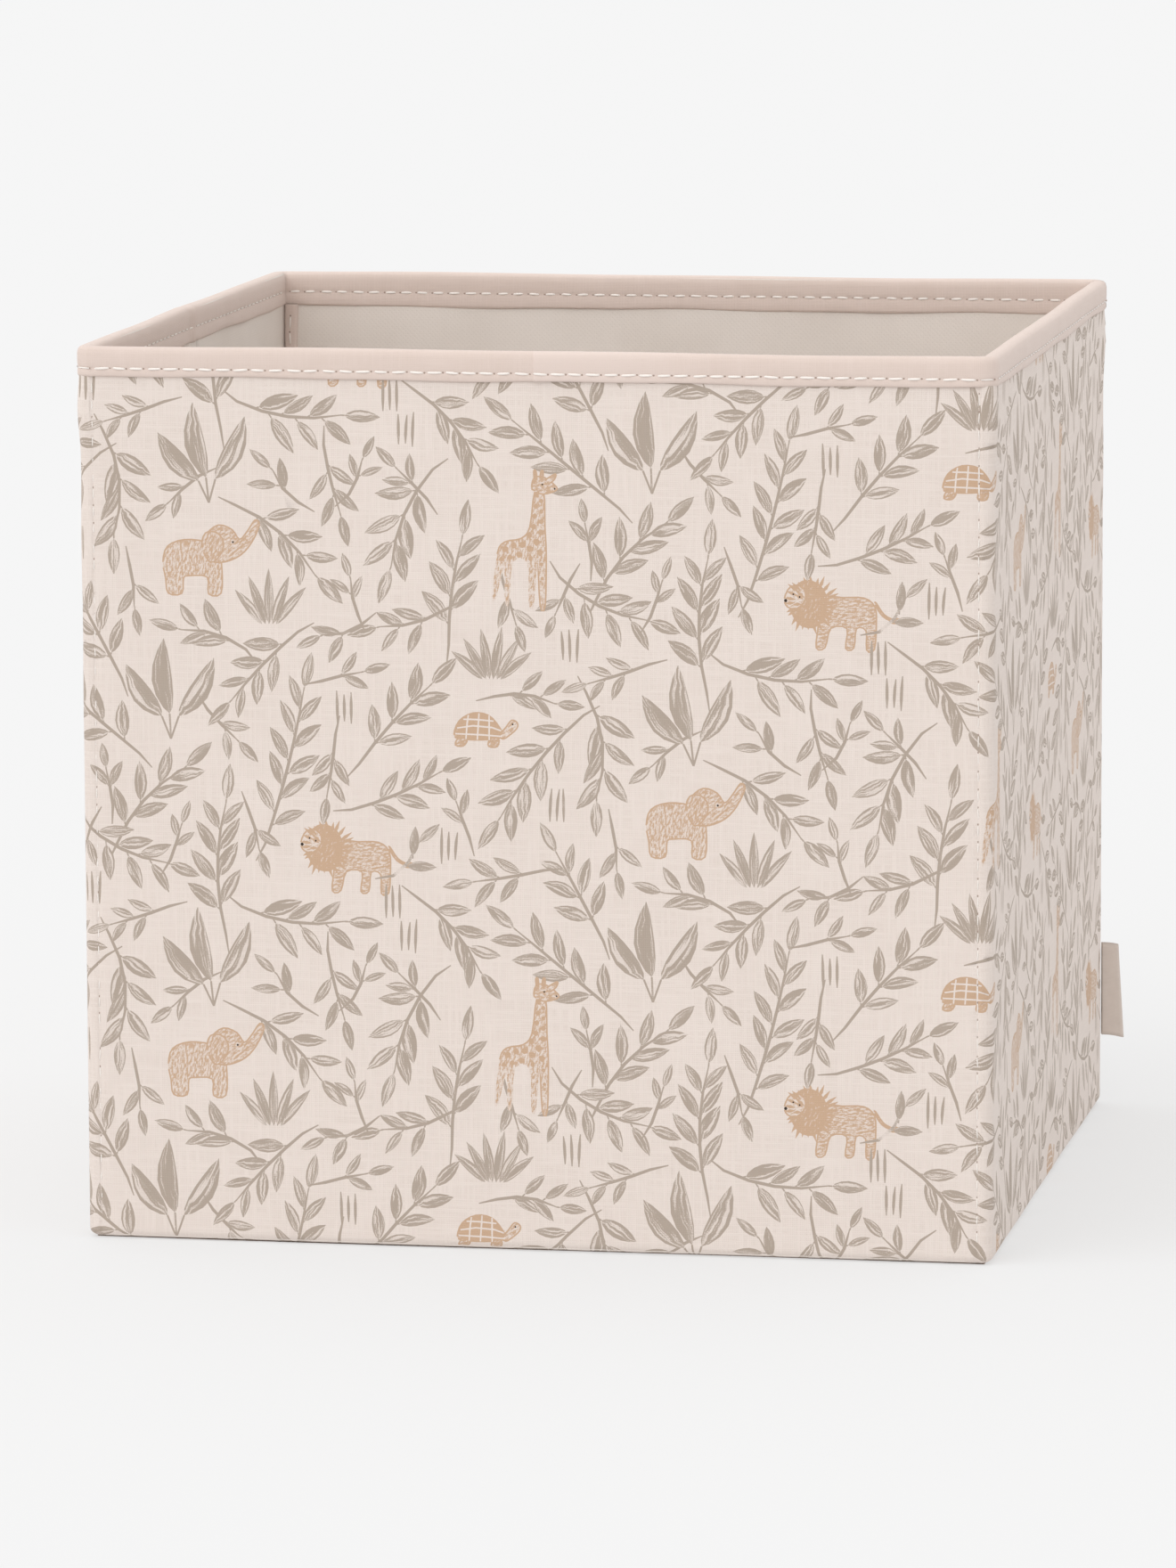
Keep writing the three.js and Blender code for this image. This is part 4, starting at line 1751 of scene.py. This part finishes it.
@dataclass
class Cover:
    """The printed cover cloth, turned under at the bottom edge.

    Attributes:
        design: The print.
        low: Its lower edge, as a distance up the cloth.
        top: Its upper edge, hidden in the rim tape.
        row_in: How far in from the corner the upright stitching runs.
    """

    design: Print
    low: float = -1.7
    top: float = 283.4
    row_in: float = 4.7

    def surface(self, s: float, v: float) -> Point3:
        """A point of the cover's face, with the puckers at its corners.

        Args:
            s: Distance round the bin.
            v: Distance up the cloth.

        Returns:
            x, y and z.
        """
        z, d = foot(v, 0.0)
        wall = (s + SIDE_LENGTH / 2) % SIDE_LENGTH - SIDE_LENGTH / 2
        corner = bell(abs(wall) - SIDE_LENGTH / 2, 5)
        d -= corner * (0.9 * bell(v - 264, 9) + 0.15 * math.sin(v / 8.3) * bell(v - 240, 60))
        if abs(s) < SIDE_LENGTH / 2 or s < -1.5 * SIDE_LENGTH:
            d += 0.4 * bell(abs(wall) - (HALF - self.row_in), 0.7)
        return round_bin(s, z, d)

    def build(self) -> None:
        """Makes each panel and strip of the cover, and its upright stitching."""
        panels: list[Sheet] = []
        for part in Part:
            start, end = part.span(COVER_TURN)
            step = 7.0 if end - start > DETAIL_WIDTH else 1.3
            rows = [] if part not in (Part.FRONT, Part.BACK) else [
                (start + end) / 2 + sign * (HALF - self.row_in + aside)
                for sign in (-1, 1) for aside in (-2.0, -0.9, -0.4, 0.0, 0.4)]
            piece = self.design.panel(f"{part.title}_cover", start, end, self.low, self.top,
                                      self.surface, step, rows)
            part.attach(piece, lambda s: round_bin(s, 100.0, 0.0), COVER_TURN)
            if part in Part.stiff():
                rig.replaces(piece, f"{part.title}_cover")
                panels.append((piece, part.title, end - start, []))
            else:
                panels[-1][-1].append(piece)
            LOG.info("cover: %s, %d faces", part.title, len(piece.data.polygons))
        declare(panels, self.top - self.low, "stretched")
        self.stitch()

    def stitch(self) -> None:
        """Makes the rows of stitching down the corners of the front and back."""
        rnd = random.Random(31)
        for wall, sign, corner in sewn_corners():
            row = Stitching(length=3.4, width=0.42, height=0.16)
            s = sign * (HALF - self.row_in) - (2 * SIDE_LENGTH if wall is Wall.BACK else 0.0)
            row.row(lambda v, s=s: self.surface(s, v), 6.0, TAPE_LOW - 1.0,
                    lambda v, s=s: out_of_wall(self.surface, s, v), rnd)
            piece = row.build(f"{corner}_seam_stitching")
            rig.ride(piece, wall.name.lower())
            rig.replaces(piece, f"{corner}_seam_stitching")


@dataclass
class Linings:
    """The non-woven lining, the boards behind it and the bound inner corners.

    Attributes:
        low: Lower edge of the lining.
        top: Its upper edge, hidden in the rim tape.
        depth: Depth of its face behind the cover's.
        thick: Its thickness.
        reach: Half its length on a front or back wall.
        side_reach: Half its length on a side wall.
        board_depth: Depth of the boards' outer face.
        board_thick: Their thickness.
        board_reach: The most that a board reaches from the wall's middle.
        board_low: Their lower edge.
        board_top: Their upper edge.
        tape_low: Lower end of the tapes in the corners.
        tape_top: Their upper end.
        tape: Section of a tape, as reach from the corner and depth.
        tape_middle: Where in its section the tape is stitched.
    """

    low: float = 3.5
    top: float = 284.0
    depth: float = 4.0
    thick: float = 0.36
    reach: float = 141.0
    side_reach: float = 140.8
    board_depth: float = 1.2
    board_thick: float = 1.9
    board_reach: float = 139.5
    board_low: float = 4.0
    board_top: float = 282.6
    tape_low: float = 4.5
    tape_top: float = 273.5
    tape: tuple[Point2, ...] = (
        (0.15, 4.1), (0.3, 4.7), (1.0, 5.0), (2.4, 4.95), (3.8, 5.05), (4.7, 4.85), (5.0, 4.4),
        (5.0, 4.05),
    )
    tape_middle: Point2 = (2.4, 4.95)

    def spans(self) -> list[tuple[str, tuple[str, ...], Wall, float, float]]:
        """Lists the lengths of lining.

        Returns:
            Name, bodies, wall, and start and end along the wall of each.
        """
        found: list[tuple[str, tuple[str, ...], Wall, float, float]] = [
            ("front", ("front",), Wall.FRONT, -self.reach, self.reach),
            ("back", ("back",), Wall.BACK, -self.reach, self.reach),
        ]
        for wall, name in ((Wall.LEFT, "left"), (Wall.RIGHT, "right")):
            fold = wall.u_of_y(FOLD_Y)
            first, last = ("rear", "front") if wall is Wall.LEFT else ("front", "rear")
            a, b = f"{name}_{first}", f"{name}_{last}"
            found += [
                (a, (a,), wall, -self.side_reach, fold - FOLD_HALF),
                (f"{name}_fold", (a, b), wall, fold - FOLD_HALF, fold + FOLD_HALF),
                (b, (b,), wall, fold + FOLD_HALF, self.side_reach),
            ]
        return found

    def build(self) -> None:
        """Makes the lining and the boards."""
        panels: list[Sheet] = []
        for name, bodies, wall, start, end in self.spans():
            step = 6.0 if end - start > DETAIL_WIDTH else 1.25
            maker = Maker()

            def at(u: float, z: float, wall: Wall = wall) -> Point3:
                """A point of the lining, a little loose on its board.

                Args:
                    u: Distance along the wall.
                    z: Height.
                    wall: The wall.

                Returns:
                    x, y and z.
                """
                ease = 0.22 * math.sin(u / 17 + z / 23) * math.sin(z / 37)
                out = HALF - self.depth + slack(wall, u, z) - 0.25 + ease
                return wall.point(u, out, z)

            maker.grid(stations(end, start, step), stations(self.low, self.top, 6.0), at)
            piece = maker.build(f"{name}_lining", [LINING], self.thick)
            if len(bodies) == 1:
                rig.ride(piece, bodies[0])
                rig.replaces(piece, f"{name}_lining")
                self.board(name, wall, start, end)
                panels.append((piece, name, end - start, []))
            else:
                ends = [tuple(c * MM for c in at(u, 100.0)) for u in (start, end)]
                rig.blend(piece, *bodies, start=ends[0], end=ends[1])
                panels[-1][-1].append(piece)
            LOG.info("lining: %s", name)
        declare(panels, self.top - self.low, "stretched")
        self.corners()

    def board(self, name: str, wall: Wall, start: float, end: float) -> None:
        """Makes the board between the cover and the lining.

        Args:
            name: The body that it belongs to.
            wall: Its wall.
            start: Where its length of lining starts along the wall.
            end: Where that ends.
        """
        maker = Maker()
        lo, hi = max(start, -self.board_reach), min(end, self.board_reach)

        def at(u: float, z: float) -> Point3:
            """A point of the board's outer face."""
            return wall.point(u, HALF - self.board_depth + slack(wall, u, z), z)

        maker.grid(stations(lo, hi, 8.0), stations(self.board_low, self.board_top, 8.0), at)
        piece = maker.build(f"{name}_board", [BOARD], self.board_thick)
        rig.ride(piece, name)
        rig.replaces(piece, f"{name}_board")

    def corners(self) -> None:
        """Makes the tape that binds the upright seam in each inner corner."""
        rnd = random.Random(5)
        for wall, sign, corner in sewn_corners():
            maker = Maker()
            phase = rnd.uniform(0, 6)
            order = self.tape if sign < 0 else self.tape[::-1]

            def at(k: float, z: float) -> Point3:
                """A point of the tape, k being a place in its section.

                Args:
                    k: Place in the section.
                    z: Height.

                Returns:
                    x, y and z.
                """
                reach, d = order[int(k)]
                edge = 0.25 * math.sin(z / 9 + phase) * smooth(reach / 4)
                u = sign * (self.reach - reach + edge)
                return wall.point(u, HALF - d + slack(wall, u, z), z)

            maker.grid([float(k) for k in range(len(order) - 1, -1, -1)],
                       stations(self.tape_low, self.tape_top, 4.0), at,
                       lambda k, z: (order[int(k)][0], z))
            piece = maker.build(f"{corner}_corner_tape", [EDGING])
            body = wall.name.lower()
            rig.ride(piece, body)
            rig.replaces(piece, f"{corner}_corner_tape")
            row = Stitching(length=4.1, width=0.5, height=0.24)
            middle = float(order.index(self.tape_middle))
            row.row(lambda z: at(middle, z), 6.0, 270.0,
                    lambda z: Vector((-wall.outward[0], -wall.outward[1], 0.0)), rnd)
            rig.ride(row.build(f"{corner}_corner_tape_stitching"), body)
            LOG.info("corner tape: %s", corner)


@dataclass
class RimTape:
    """The cotton tape folded over the rim, with its rows of lockstitches.

    Its ends overlap at the middle of the front, the right-hand end on top.

    Attributes:
        turn: Its corner radius at the outer face.
        profile: Its section, as height and depth, from the lower edge outside,
            over the rim, to the lower edge inside.
        deepest: The most depth that it may reach.
        highest: The most height that it may reach.
        row_index: Where in its section the outer row of stitches runs.
        inner_row_index: Where the same row comes through inside.
        ply: How far the end on top stands off the end below it.
    """

    turn: float = TAPE_TURN
    profile: tuple[Point2, ...] = (
        (276.1, 0.0), (275.5, -0.25), (275.35, -0.55), (275.8, -0.80), (276.8, -0.84),
        (277.6, -0.70), (277.9, -0.66), (278.2, -0.70), (279.2, -0.86), (281.0, -0.92),
        (282.8, -0.90), (284.0, -0.62), (284.7, 0.05), (284.97, 1.0), (285.0, 2.0),
        (284.95, 3.1), (284.6, 4.0), (283.8, 4.6), (282.2, 4.86), (280.0, 4.88),
        (278.6, 4.78), (277.9, 4.66), (277.2, 4.78), (275.6, 4.9), (273.8, 4.88),
        (273.2, 4.7), (273.0, 4.4), (273.5, 4.1),
    )
    deepest: float = 4.86
    highest: float = 285.4
    row_index: int = 6
    inner_row_index: int = 21
    ply: float = 0.55

    def surface(self, s: float, k: int) -> Point3:
        """A point of the tape.

        Args:
            s: Distance round the bin.
            k: Place in the section.

        Returns:
            x, y and z.
        """
        z, d = self.profile[k]
        length = side_run(self.turn)
        u = (s + length / 2) % length - length / 2
        corner = bell(abs(u) - length / 2, 13)
        edge = 1.0 if k < 5 or k > 23 else 0.35
        lift = edge * (0.16 * math.sin(s / 4.3 + 2 * math.sin(s / 17)) + 0.12 * math.sin(s / 2.1))
        lift *= 0.5 + 1.3 * corner
        on_top = 1.0 if 8 <= k <= 20 else 0.0
        z += on_top * (0.24 * math.sin(s / 23 + 1.0) * math.sin(s / 61) - 0.25)
        z += (0.45 if k < 4 else 0.5 if k > 24 else 0.0) * (
            math.sin(s / 19) * 0.5 + math.sin(s / 7.7 + 1) * 0.3)
        d -= lift * (0.35 if d < 2 else -0.35) + 0.10 * corner * (1 if d < 2 else 0)
        if abs(s) < 60 and d < 2.5:
            d -= self.ply * (smooth((s - 0.6) / 0.5) * math.exp(-max(0.0, s - 1) / 22))
        return round_bin(s, min(z, self.highest), min(d, self.deepest), self.turn)

    def build(self) -> None:
        """Makes each length of tape and both rows of stitching."""
        rnd = random.Random(12)
        ks = list(range(len(self.profile)))
        run = [0.0]
        for (z0, d0), (z1, d1) in zip(self.profile, self.profile[1:]):
            run.append(run[-1] + math.hypot(z1 - z0, d1 - d0))
        lengths: list[Sheet] = []
        for part in Part:
            start, end = part.span(self.turn)
            maker = Maker()
            step = 1.6 if end - start > DETAIL_WIDTH else 0.9
            ss = stations(start, end, step)
            if part is Part.FRONT:
                ss = sorted(set(ss + [0.55, 0.7, 0.85, 1.0, 1.15]))
            maker.grid(ss, ks, lambda s, k: self.surface(s, int(k)),
                       lambda s, k: (s, run[int(k)]))
            piece = maker.build(f"{part.title}_rim_tape", [TAPE])
            part.attach(piece, lambda s: round_bin(s, 280.0, 0.0, self.turn), self.turn)
            if part in Part.stiff():
                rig.replaces(piece, f"{part.title}_rim_tape")
                lengths.append((piece, part.title, end - start, []))
            else:
                lengths[-1][-1].append(piece)
            self.stitch(part, start, end, rnd)
            LOG.info("rim tape: %s", part.title)
        declare(lengths, run[-1], "folded")

    def stitch(self, part: Part, start: float, end: float, rnd: random.Random) -> None:
        """Makes the stitches of one length, outside and inside.

        Args:
            part: The part of the bin.
            start: Where the length starts round the bin.
            end: Where it ends.
            rnd: Source of the unevenness of sewing.
        """
        flat = part in (Part.FRONT, Part.BACK)
        row = Stitching() if flat else Stitching(width=0.5, height=0.14)
        for index, facing in ((self.row_index, 1), (self.inner_row_index, -1)):
            if facing < 0:
                row.length, row.height = 3.7, min(row.height, 0.22)
            if facing < 0 and "CORNER" in part.name:
                continue

            def normal(s: float) -> Vector:
                """The direction out of the tape on this side."""
                a, b = Vector(self.surface(s - 1, index)), Vector(self.surface(s + 1, index))
                return (b - a).cross(Vector((0, 0, 1))).normalized() * facing

            row.row(lambda s: self.surface(s, index), start, end, normal, rnd)
        piece = row.build(f"{part.title}_rim_stitching")
        if len(part.bodies) == 1:
            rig.replaces(piece, f"{part.title}_rim_stitching")
        part.attach(piece, lambda s: round_bin(s, 280.0, 0.0, self.turn), self.turn)


@dataclass
class Bottom:
    """The sewn bottom cloth and the roll of seam allowances inside its edge.

    Attributes:
        design: The print.
        half: Half the cloth's width.
        offset: How far away from the front's cloth it was cut.
        level: Mean height of its printed face.
        reverse_level: Height of its plain back.
        roll: Section of the seam roll, as depth behind the cover and height.
        folded_share: Its depth in the folded bin, as a share of its full depth.
    """

    design: Print
    half: float = HALF - 2.6
    offset: float = 400.0
    level: float = 0.16
    reverse_level: float = 0.38
    roll: tuple[Point2, ...] = (
        (0.7, 1.2), (2.0, 0.9), (3.4, 1.3), (3.5, 2.3), (3.0, 3.2), (1.4, 3.3), (0.7, 2.4),
        (0.7, 1.2),
    )
    folded_share: float = 0.082

    def build(self) -> None:
        """Makes the cloth and the roll, which gather under the folded walls."""
        def at(x: float, y: float) -> Point3:
            """A point of the printed face, a little uneven."""
            rise = 0.1 * math.sin(x / 40) * math.sin(y / 37)
            return (x, -(y - self.offset), self.level + rise)

        piece = self.design.panel("bottom_cloth", -self.half, self.half,
                                  -self.half + self.offset, self.half + self.offset, at)
        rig.replaces(piece, "bottom_cloth")
        self.gather(piece)
        inside = Maker()
        ticks = stations(-self.half, self.half, 9.0)
        inside.grid(ticks, ticks, lambda x, y: (x, y, self.reverse_level))
        reverse = inside.build("bottom_cloth_reverse", [REVERSE])
        self.gather(reverse)
        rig.sheet(piece, (2 * self.half * MM, 2 * self.half * MM), "laid", with_pieces=[reverse])
        roll = Maker()
        ring = stations(-2 * SIDE_LENGTH, 2 * SIDE_LENGTH, 8.0)
        roll.grid(ring, list(range(len(self.roll))),
                  lambda s, k: round_bin(s, self.roll[int(k)][1], self.roll[int(k)][0]))
        seam = roll.build("bottom_seam", [LINING])
        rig.replaces(seam, "bottom_seam")
        self.gather(seam)
        LOG.info("bottom: cloth and seam roll")

    def gather(self, piece: bpy.types.Object) -> None:
        """Lets a piece gather towards the back wall as the bin folds."""
        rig.ride(piece, "back")
        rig.squash(piece, "fold", axis=(0, 1, 0), anchor=(0, HALF * MM, 0), keep=self.folded_share)


@dataclass
class BasePanel:
    """The loose base board in its non-woven sleeve.

    Attributes:
        half_width: Half the sleeve's width.
        front: Its front edge.
        rear: Its rear edge.
        under: Height of its lower face.
        over: Height of its upper face.
        edge: Radius of its edge, seen from above.
        inset: How far in from the edge it is stitched.
    """

    half_width: float = 139.0
    front: float = -139.0
    rear: float = 136.65
    under: float = 1.0
    over: float = 3.7
    edge: float = 0.9
    inset: float = 4.0

    def build(self) -> None:
        """Makes the sleeve with its stitched edges, and dresses the board."""
        maker = Maker()
        r = self.edge
        xs = stations(-self.half_width + r, self.half_width - r, 9.0)
        ys = stations(self.front + r, self.rear - r, 9.0)
        nx, ny = len(xs), len(ys)
        border = ([(i, 0) for i in range(nx)] + [(nx - 1, j) for j in range(1, ny)]
                  + [(i, ny - 1) for i in range(nx - 2, -1, -1)]
                  + [(0, j) for j in range(ny - 2, 0, -1)])

        def sag(x: float, y: float) -> float:
            """How far the upper face stands off the board."""
            return 0.16 * math.sin(x / 33 + 1) * math.sin(y / 41)

        def sheet(z: float, top: bool) -> list[list[int]]:
            """Adds a face of the sleeve.

            Args:
                z: Its height.
                top: Whether it is the upper one.

            Returns:
                Its vertices, by place across and along.
            """
            rows = [[maker.vertex((x, y, z + (sag(x, y) if top else 0)), (x, y)) for y in ys]
                    for x in xs]
            for i in range(nx - 1):
                for j in range(ny - 1):
                    ring = (rows[i][j], rows[i + 1][j], rows[i + 1][j + 1], rows[i][j + 1])
                    maker.face(ring if top else ring[::-1])
            return rows

        top, low = sheet(self.over - 0.17, True), sheet(self.under, False)
        loops = [[top[i][j] for i, j in border]]
        for angle in (35, 90, 145):
            a = math.radians(angle)
            ring = []
            for i, j in border:
                ox = (i == nx - 1) - (i == 0)
                oy = (j == ny - 1) - (j == 0)
                reach = r * math.sin(a)
                middle = (self.under + self.over) / 2
                z = middle + (self.over - self.under) / 2 * math.cos(a)
                ring.append(maker.vertex((xs[i] + ox * reach, ys[j] + oy * reach, z),
                                         (xs[i], ys[j])))
            loops.append(ring)
        loops.append([low[i][j] for i, j in border])
        for a, b in zip(loops, loops[1:]):
            for k in range(len(a)):
                n = (k + 1) % len(a)
                maker.face((a[k], b[k], b[n], a[n]))
        sleeve = maker.build("base_board_sleeve", [LINING])
        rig.ride(sleeve, "base_panel")
        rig.replaces(sleeve, "base_board_sleeve")
        # Two panels of this size, one over the board and one under it.
        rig.sheet(sleeve, (2 * self.half_width * MM, (self.rear - self.front) * MM), "stretched",
                 rests_on=["base_board"])
        rnd = random.Random(77)
        row = Stitching(length=4.0, width=0.5, height=0.2)
        up = Vector((0, 0, 1))
        level = self.over - 0.12
        side, first, last = (self.half_width - self.inset, self.front + self.inset,
                             self.rear - self.inset)
        for x in (-side, side):
            row.row(lambda t, x=x: (x, t, level + sag(x, t)), first, last, lambda t: up, rnd)
        row.row(lambda t: (t, first, level + sag(t, self.front)), -side, side,
                lambda t: up, rnd)
        thread = row.build("base_board_sleeve_stitching")
        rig.ride(thread, "base_panel")
        board = frame["nodes"]["base_board"]
        board.data.materials.clear()
        board.data.materials.append(BOARD.material())
        LOG.info("base panel")


@dataclass
class Label:
    """A blank satin ribbon, folded in two, its ends caught in the rear right seam.

    Attributes:
        low: Its lower edge.
        high: Its upper edge.
        reach_top: How far it stands out of the seam at its upper edge.
        reach_low: The same at its lower edge.
        opening: Gap between its two layers.
        turn: Angle that it stands at, from straight out of the side wall.
        droop: How far its fold hangs down.
        root: Where it leaves the seam, as x and y.
        cut_length: Length of ribbon in the loop.
        thick: Thickness of the ribbon.
        steps: Steps of its mesh along the loop.
    """

    low: float = 24.0
    high: float = 56.0
    reach_top: float = 5.6
    reach_low: float = 7.6
    opening: float = 1.5
    turn: float = math.radians(14)
    droop: float = 1.1
    root: Point2 = (HALF + 0.15, 142.6)
    cut_length: float = 15.6
    thick: float = 0.3
    steps: int = 26

    def build(self) -> None:
        """Makes the loop of ribbon."""
        maker = Maker()
        half = self.opening / 2

        def at(t: float, z: float) -> Point3:
            """A point of the ribbon.

            Args:
                t: Share of the way round the loop.
                z: Height before it droops.

            Returns:
                x, y and z.
            """
            up = (z - self.low) / (self.high - self.low)
            reach = self.reach_low + (self.reach_top - self.reach_low) * up - half
            length = 2 * reach + math.pi * half
            run = t * length
            if run < reach:
                x, y = run, -half
            elif run > length - reach:
                x, y = length - run, half
            else:
                a = (run - reach) / half - math.pi / 2
                x, y = reach + half * math.cos(a), half * math.sin(a)
            y += 0.5 * (x / 7) ** 2 + 0.15 * math.sin(z / 6) * x / 7
            ca, sa = math.cos(self.turn), math.sin(self.turn)
            return (self.root[0] + x * ca - y * sa, self.root[1] + x * sa + y * ca,
                    z - self.droop * (x / 7) ** 2)

        maker.grid(stations(self.low, self.high, 1.6),
                   [i / self.steps for i in range(self.steps + 1)],
                   lambda z, t: at(t, z), lambda z, t: (t * 15, z))
        ribbon = maker.build("side_label", [RIBBON], self.thick)
        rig.ride(ribbon, "back")
        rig.replaces(ribbon, "side_label")
        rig.sheet(ribbon, (self.cut_length * MM, (self.high - self.low) * MM), "folded",
                 rests_on=["back_cover"])
        LOG.info("label")


# ---- the studio


@dataclass
class Studio:
    """A pale floor, soft lights and the camera.

    Attributes:
        eye: The camera's place, in metres.
        azimuth: How far round to the right it stands, in degrees.
        elevation: How far up it stands, in degrees.
        roll: Its tilt to one side, in degrees.
        lens: Its focal length, in millimetres, for a sensor of 36 mm.
        surround: Brightness of the light from all round.
        paper: How much light the floor reflects, 0 to 1.
        glow: How brightly the floor glows, so that shadows on it stay faint.
        floor_reach: Half the floor's width, in metres.
        suns: Name, direction, width in degrees and strength of each broad light.
    """

    eye: Point3 = (0.47915, -2.69233, 0.52386)
    azimuth: float = 10.2729
    elevation: float = 8.2278
    roll: float = -0.2149
    lens: float = 192.2
    surround: float = 0.915
    paper: float = 0.33
    glow: float = 0.504
    floor_reach: float = 60.0
    suns: tuple[tuple[str, Point3, float, float], ...] = (
        ("key", (-0.55, -0.95, 0.95), 70, 0.85),
        ("top", (-0.25, 0.15, 1.0), 90, 0.55),
    )

    def camera(self) -> None:
        """Makes the camera, a little above the rim and to the right."""
        az, el, roll = (math.radians(a) for a in (self.azimuth, self.elevation, self.roll))
        back = Vector((math.sin(az) * math.cos(el), -math.cos(az) * math.cos(el), math.sin(el)))
        right = Vector((math.cos(az), math.sin(az), 0.0))
        up = back.cross(right)
        c, s = math.cos(roll), math.sin(roll)
        right, up = c * right + s * up, c * up - s * right
        data = bpy.data.cameras.new("camera")
        data.lens, data.sensor_width = self.lens, 36.0
        data.clip_start, data.clip_end = 0.05, 50.0
        made = link("camera", data)
        made.matrix_world = Matrix([
            [right.x, up.x, back.x, self.eye[0]],
            [right.y, up.y, back.y, self.eye[1]],
            [right.z, up.z, back.z, self.eye[2]],
            [0, 0, 0, 1],
        ])
        bpy.context.scene.camera = made

    def sun(self, name: str, way: Point3, spread: float, strength: float) -> None:
        """Adds a broad, even light from one direction.

        Args:
            name: The light's name.
            way: The direction it comes from.
            spread: How wide it looks, in degrees. A wide light is soft.
            strength: Its strength, in watts a square metre.
        """
        data = bpy.data.lights.new(name, "SUN")
        data.angle, data.energy = math.radians(spread), strength
        lamp = link(name, data)
        lamp.rotation_mode = "QUATERNION"
        lamp.rotation_quaternion = (-Vector(way)).to_track_quat("-Z", "Y")

    def build(self) -> None:
        """Makes the floor, world, lights and camera."""
        scene = bpy.context.scene
        scene.view_settings.view_transform = "Standard"
        scene.view_settings.look = "None"
        world = bpy.data.worlds.new("studio")
        world.use_nodes = True
        back = world.node_tree.nodes["Background"]
        back.inputs["Color"].default_value = (1.0, 1.0, 1.0, 1.0)
        back.inputs["Strength"].default_value = self.surround
        scene.world = world

        floor = bpy.data.meshes.new("floor")
        corners = [(x * self.floor_reach, y * self.floor_reach, 0)
                   for x, y in ((-1, -1), (1, -1), (1, 1), (-1, 1))]
        floor.from_pydata(corners, [], [(0, 1, 2, 3)])
        paper = bpy.data.materials.new("matt_studio_paper")
        paper.use_nodes = True
        surface = paper.node_tree.nodes["Principled BSDF"]
        for name, value in (
            ("Base Color", (self.paper, self.paper, self.paper, 1.0)),
            ("Roughness", 1.0),
            ("Specular IOR Level", 0.0),
            ("Emission Color", (1.0, 1.0, 1.0, 1.0)),
            ("Emission Strength", self.glow),
        ):
            surface.inputs[name].default_value = value
        floor.materials.append(paper)
        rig.stage(link("floor", floor))
        for light in self.suns:
            self.sun(*light)
        self.camera()


def main() -> None:
    """Builds the bin and the studio round it."""
    logging.basicConfig(level=logging.INFO, format="%(name)s: %(message)s")
    Studio().build()
    design = Print()
    design.draw()
    LOG.info("print: %d motifs in one repeat", len(design.motifs))
    Cover(design).build()
    Linings().build()
    RimTape().build()
    Bottom(design).build()
    BasePanel().build()
    Label().build()
    sizes = {"cad": [list(c) for c in CAD_BOX], "visual": [list(c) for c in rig.bounds()]}
    with open(SIZE_FILE, "w", encoding="utf-8") as out:
        json.dump(sizes, out)


if __name__ == "__main__":
    main()
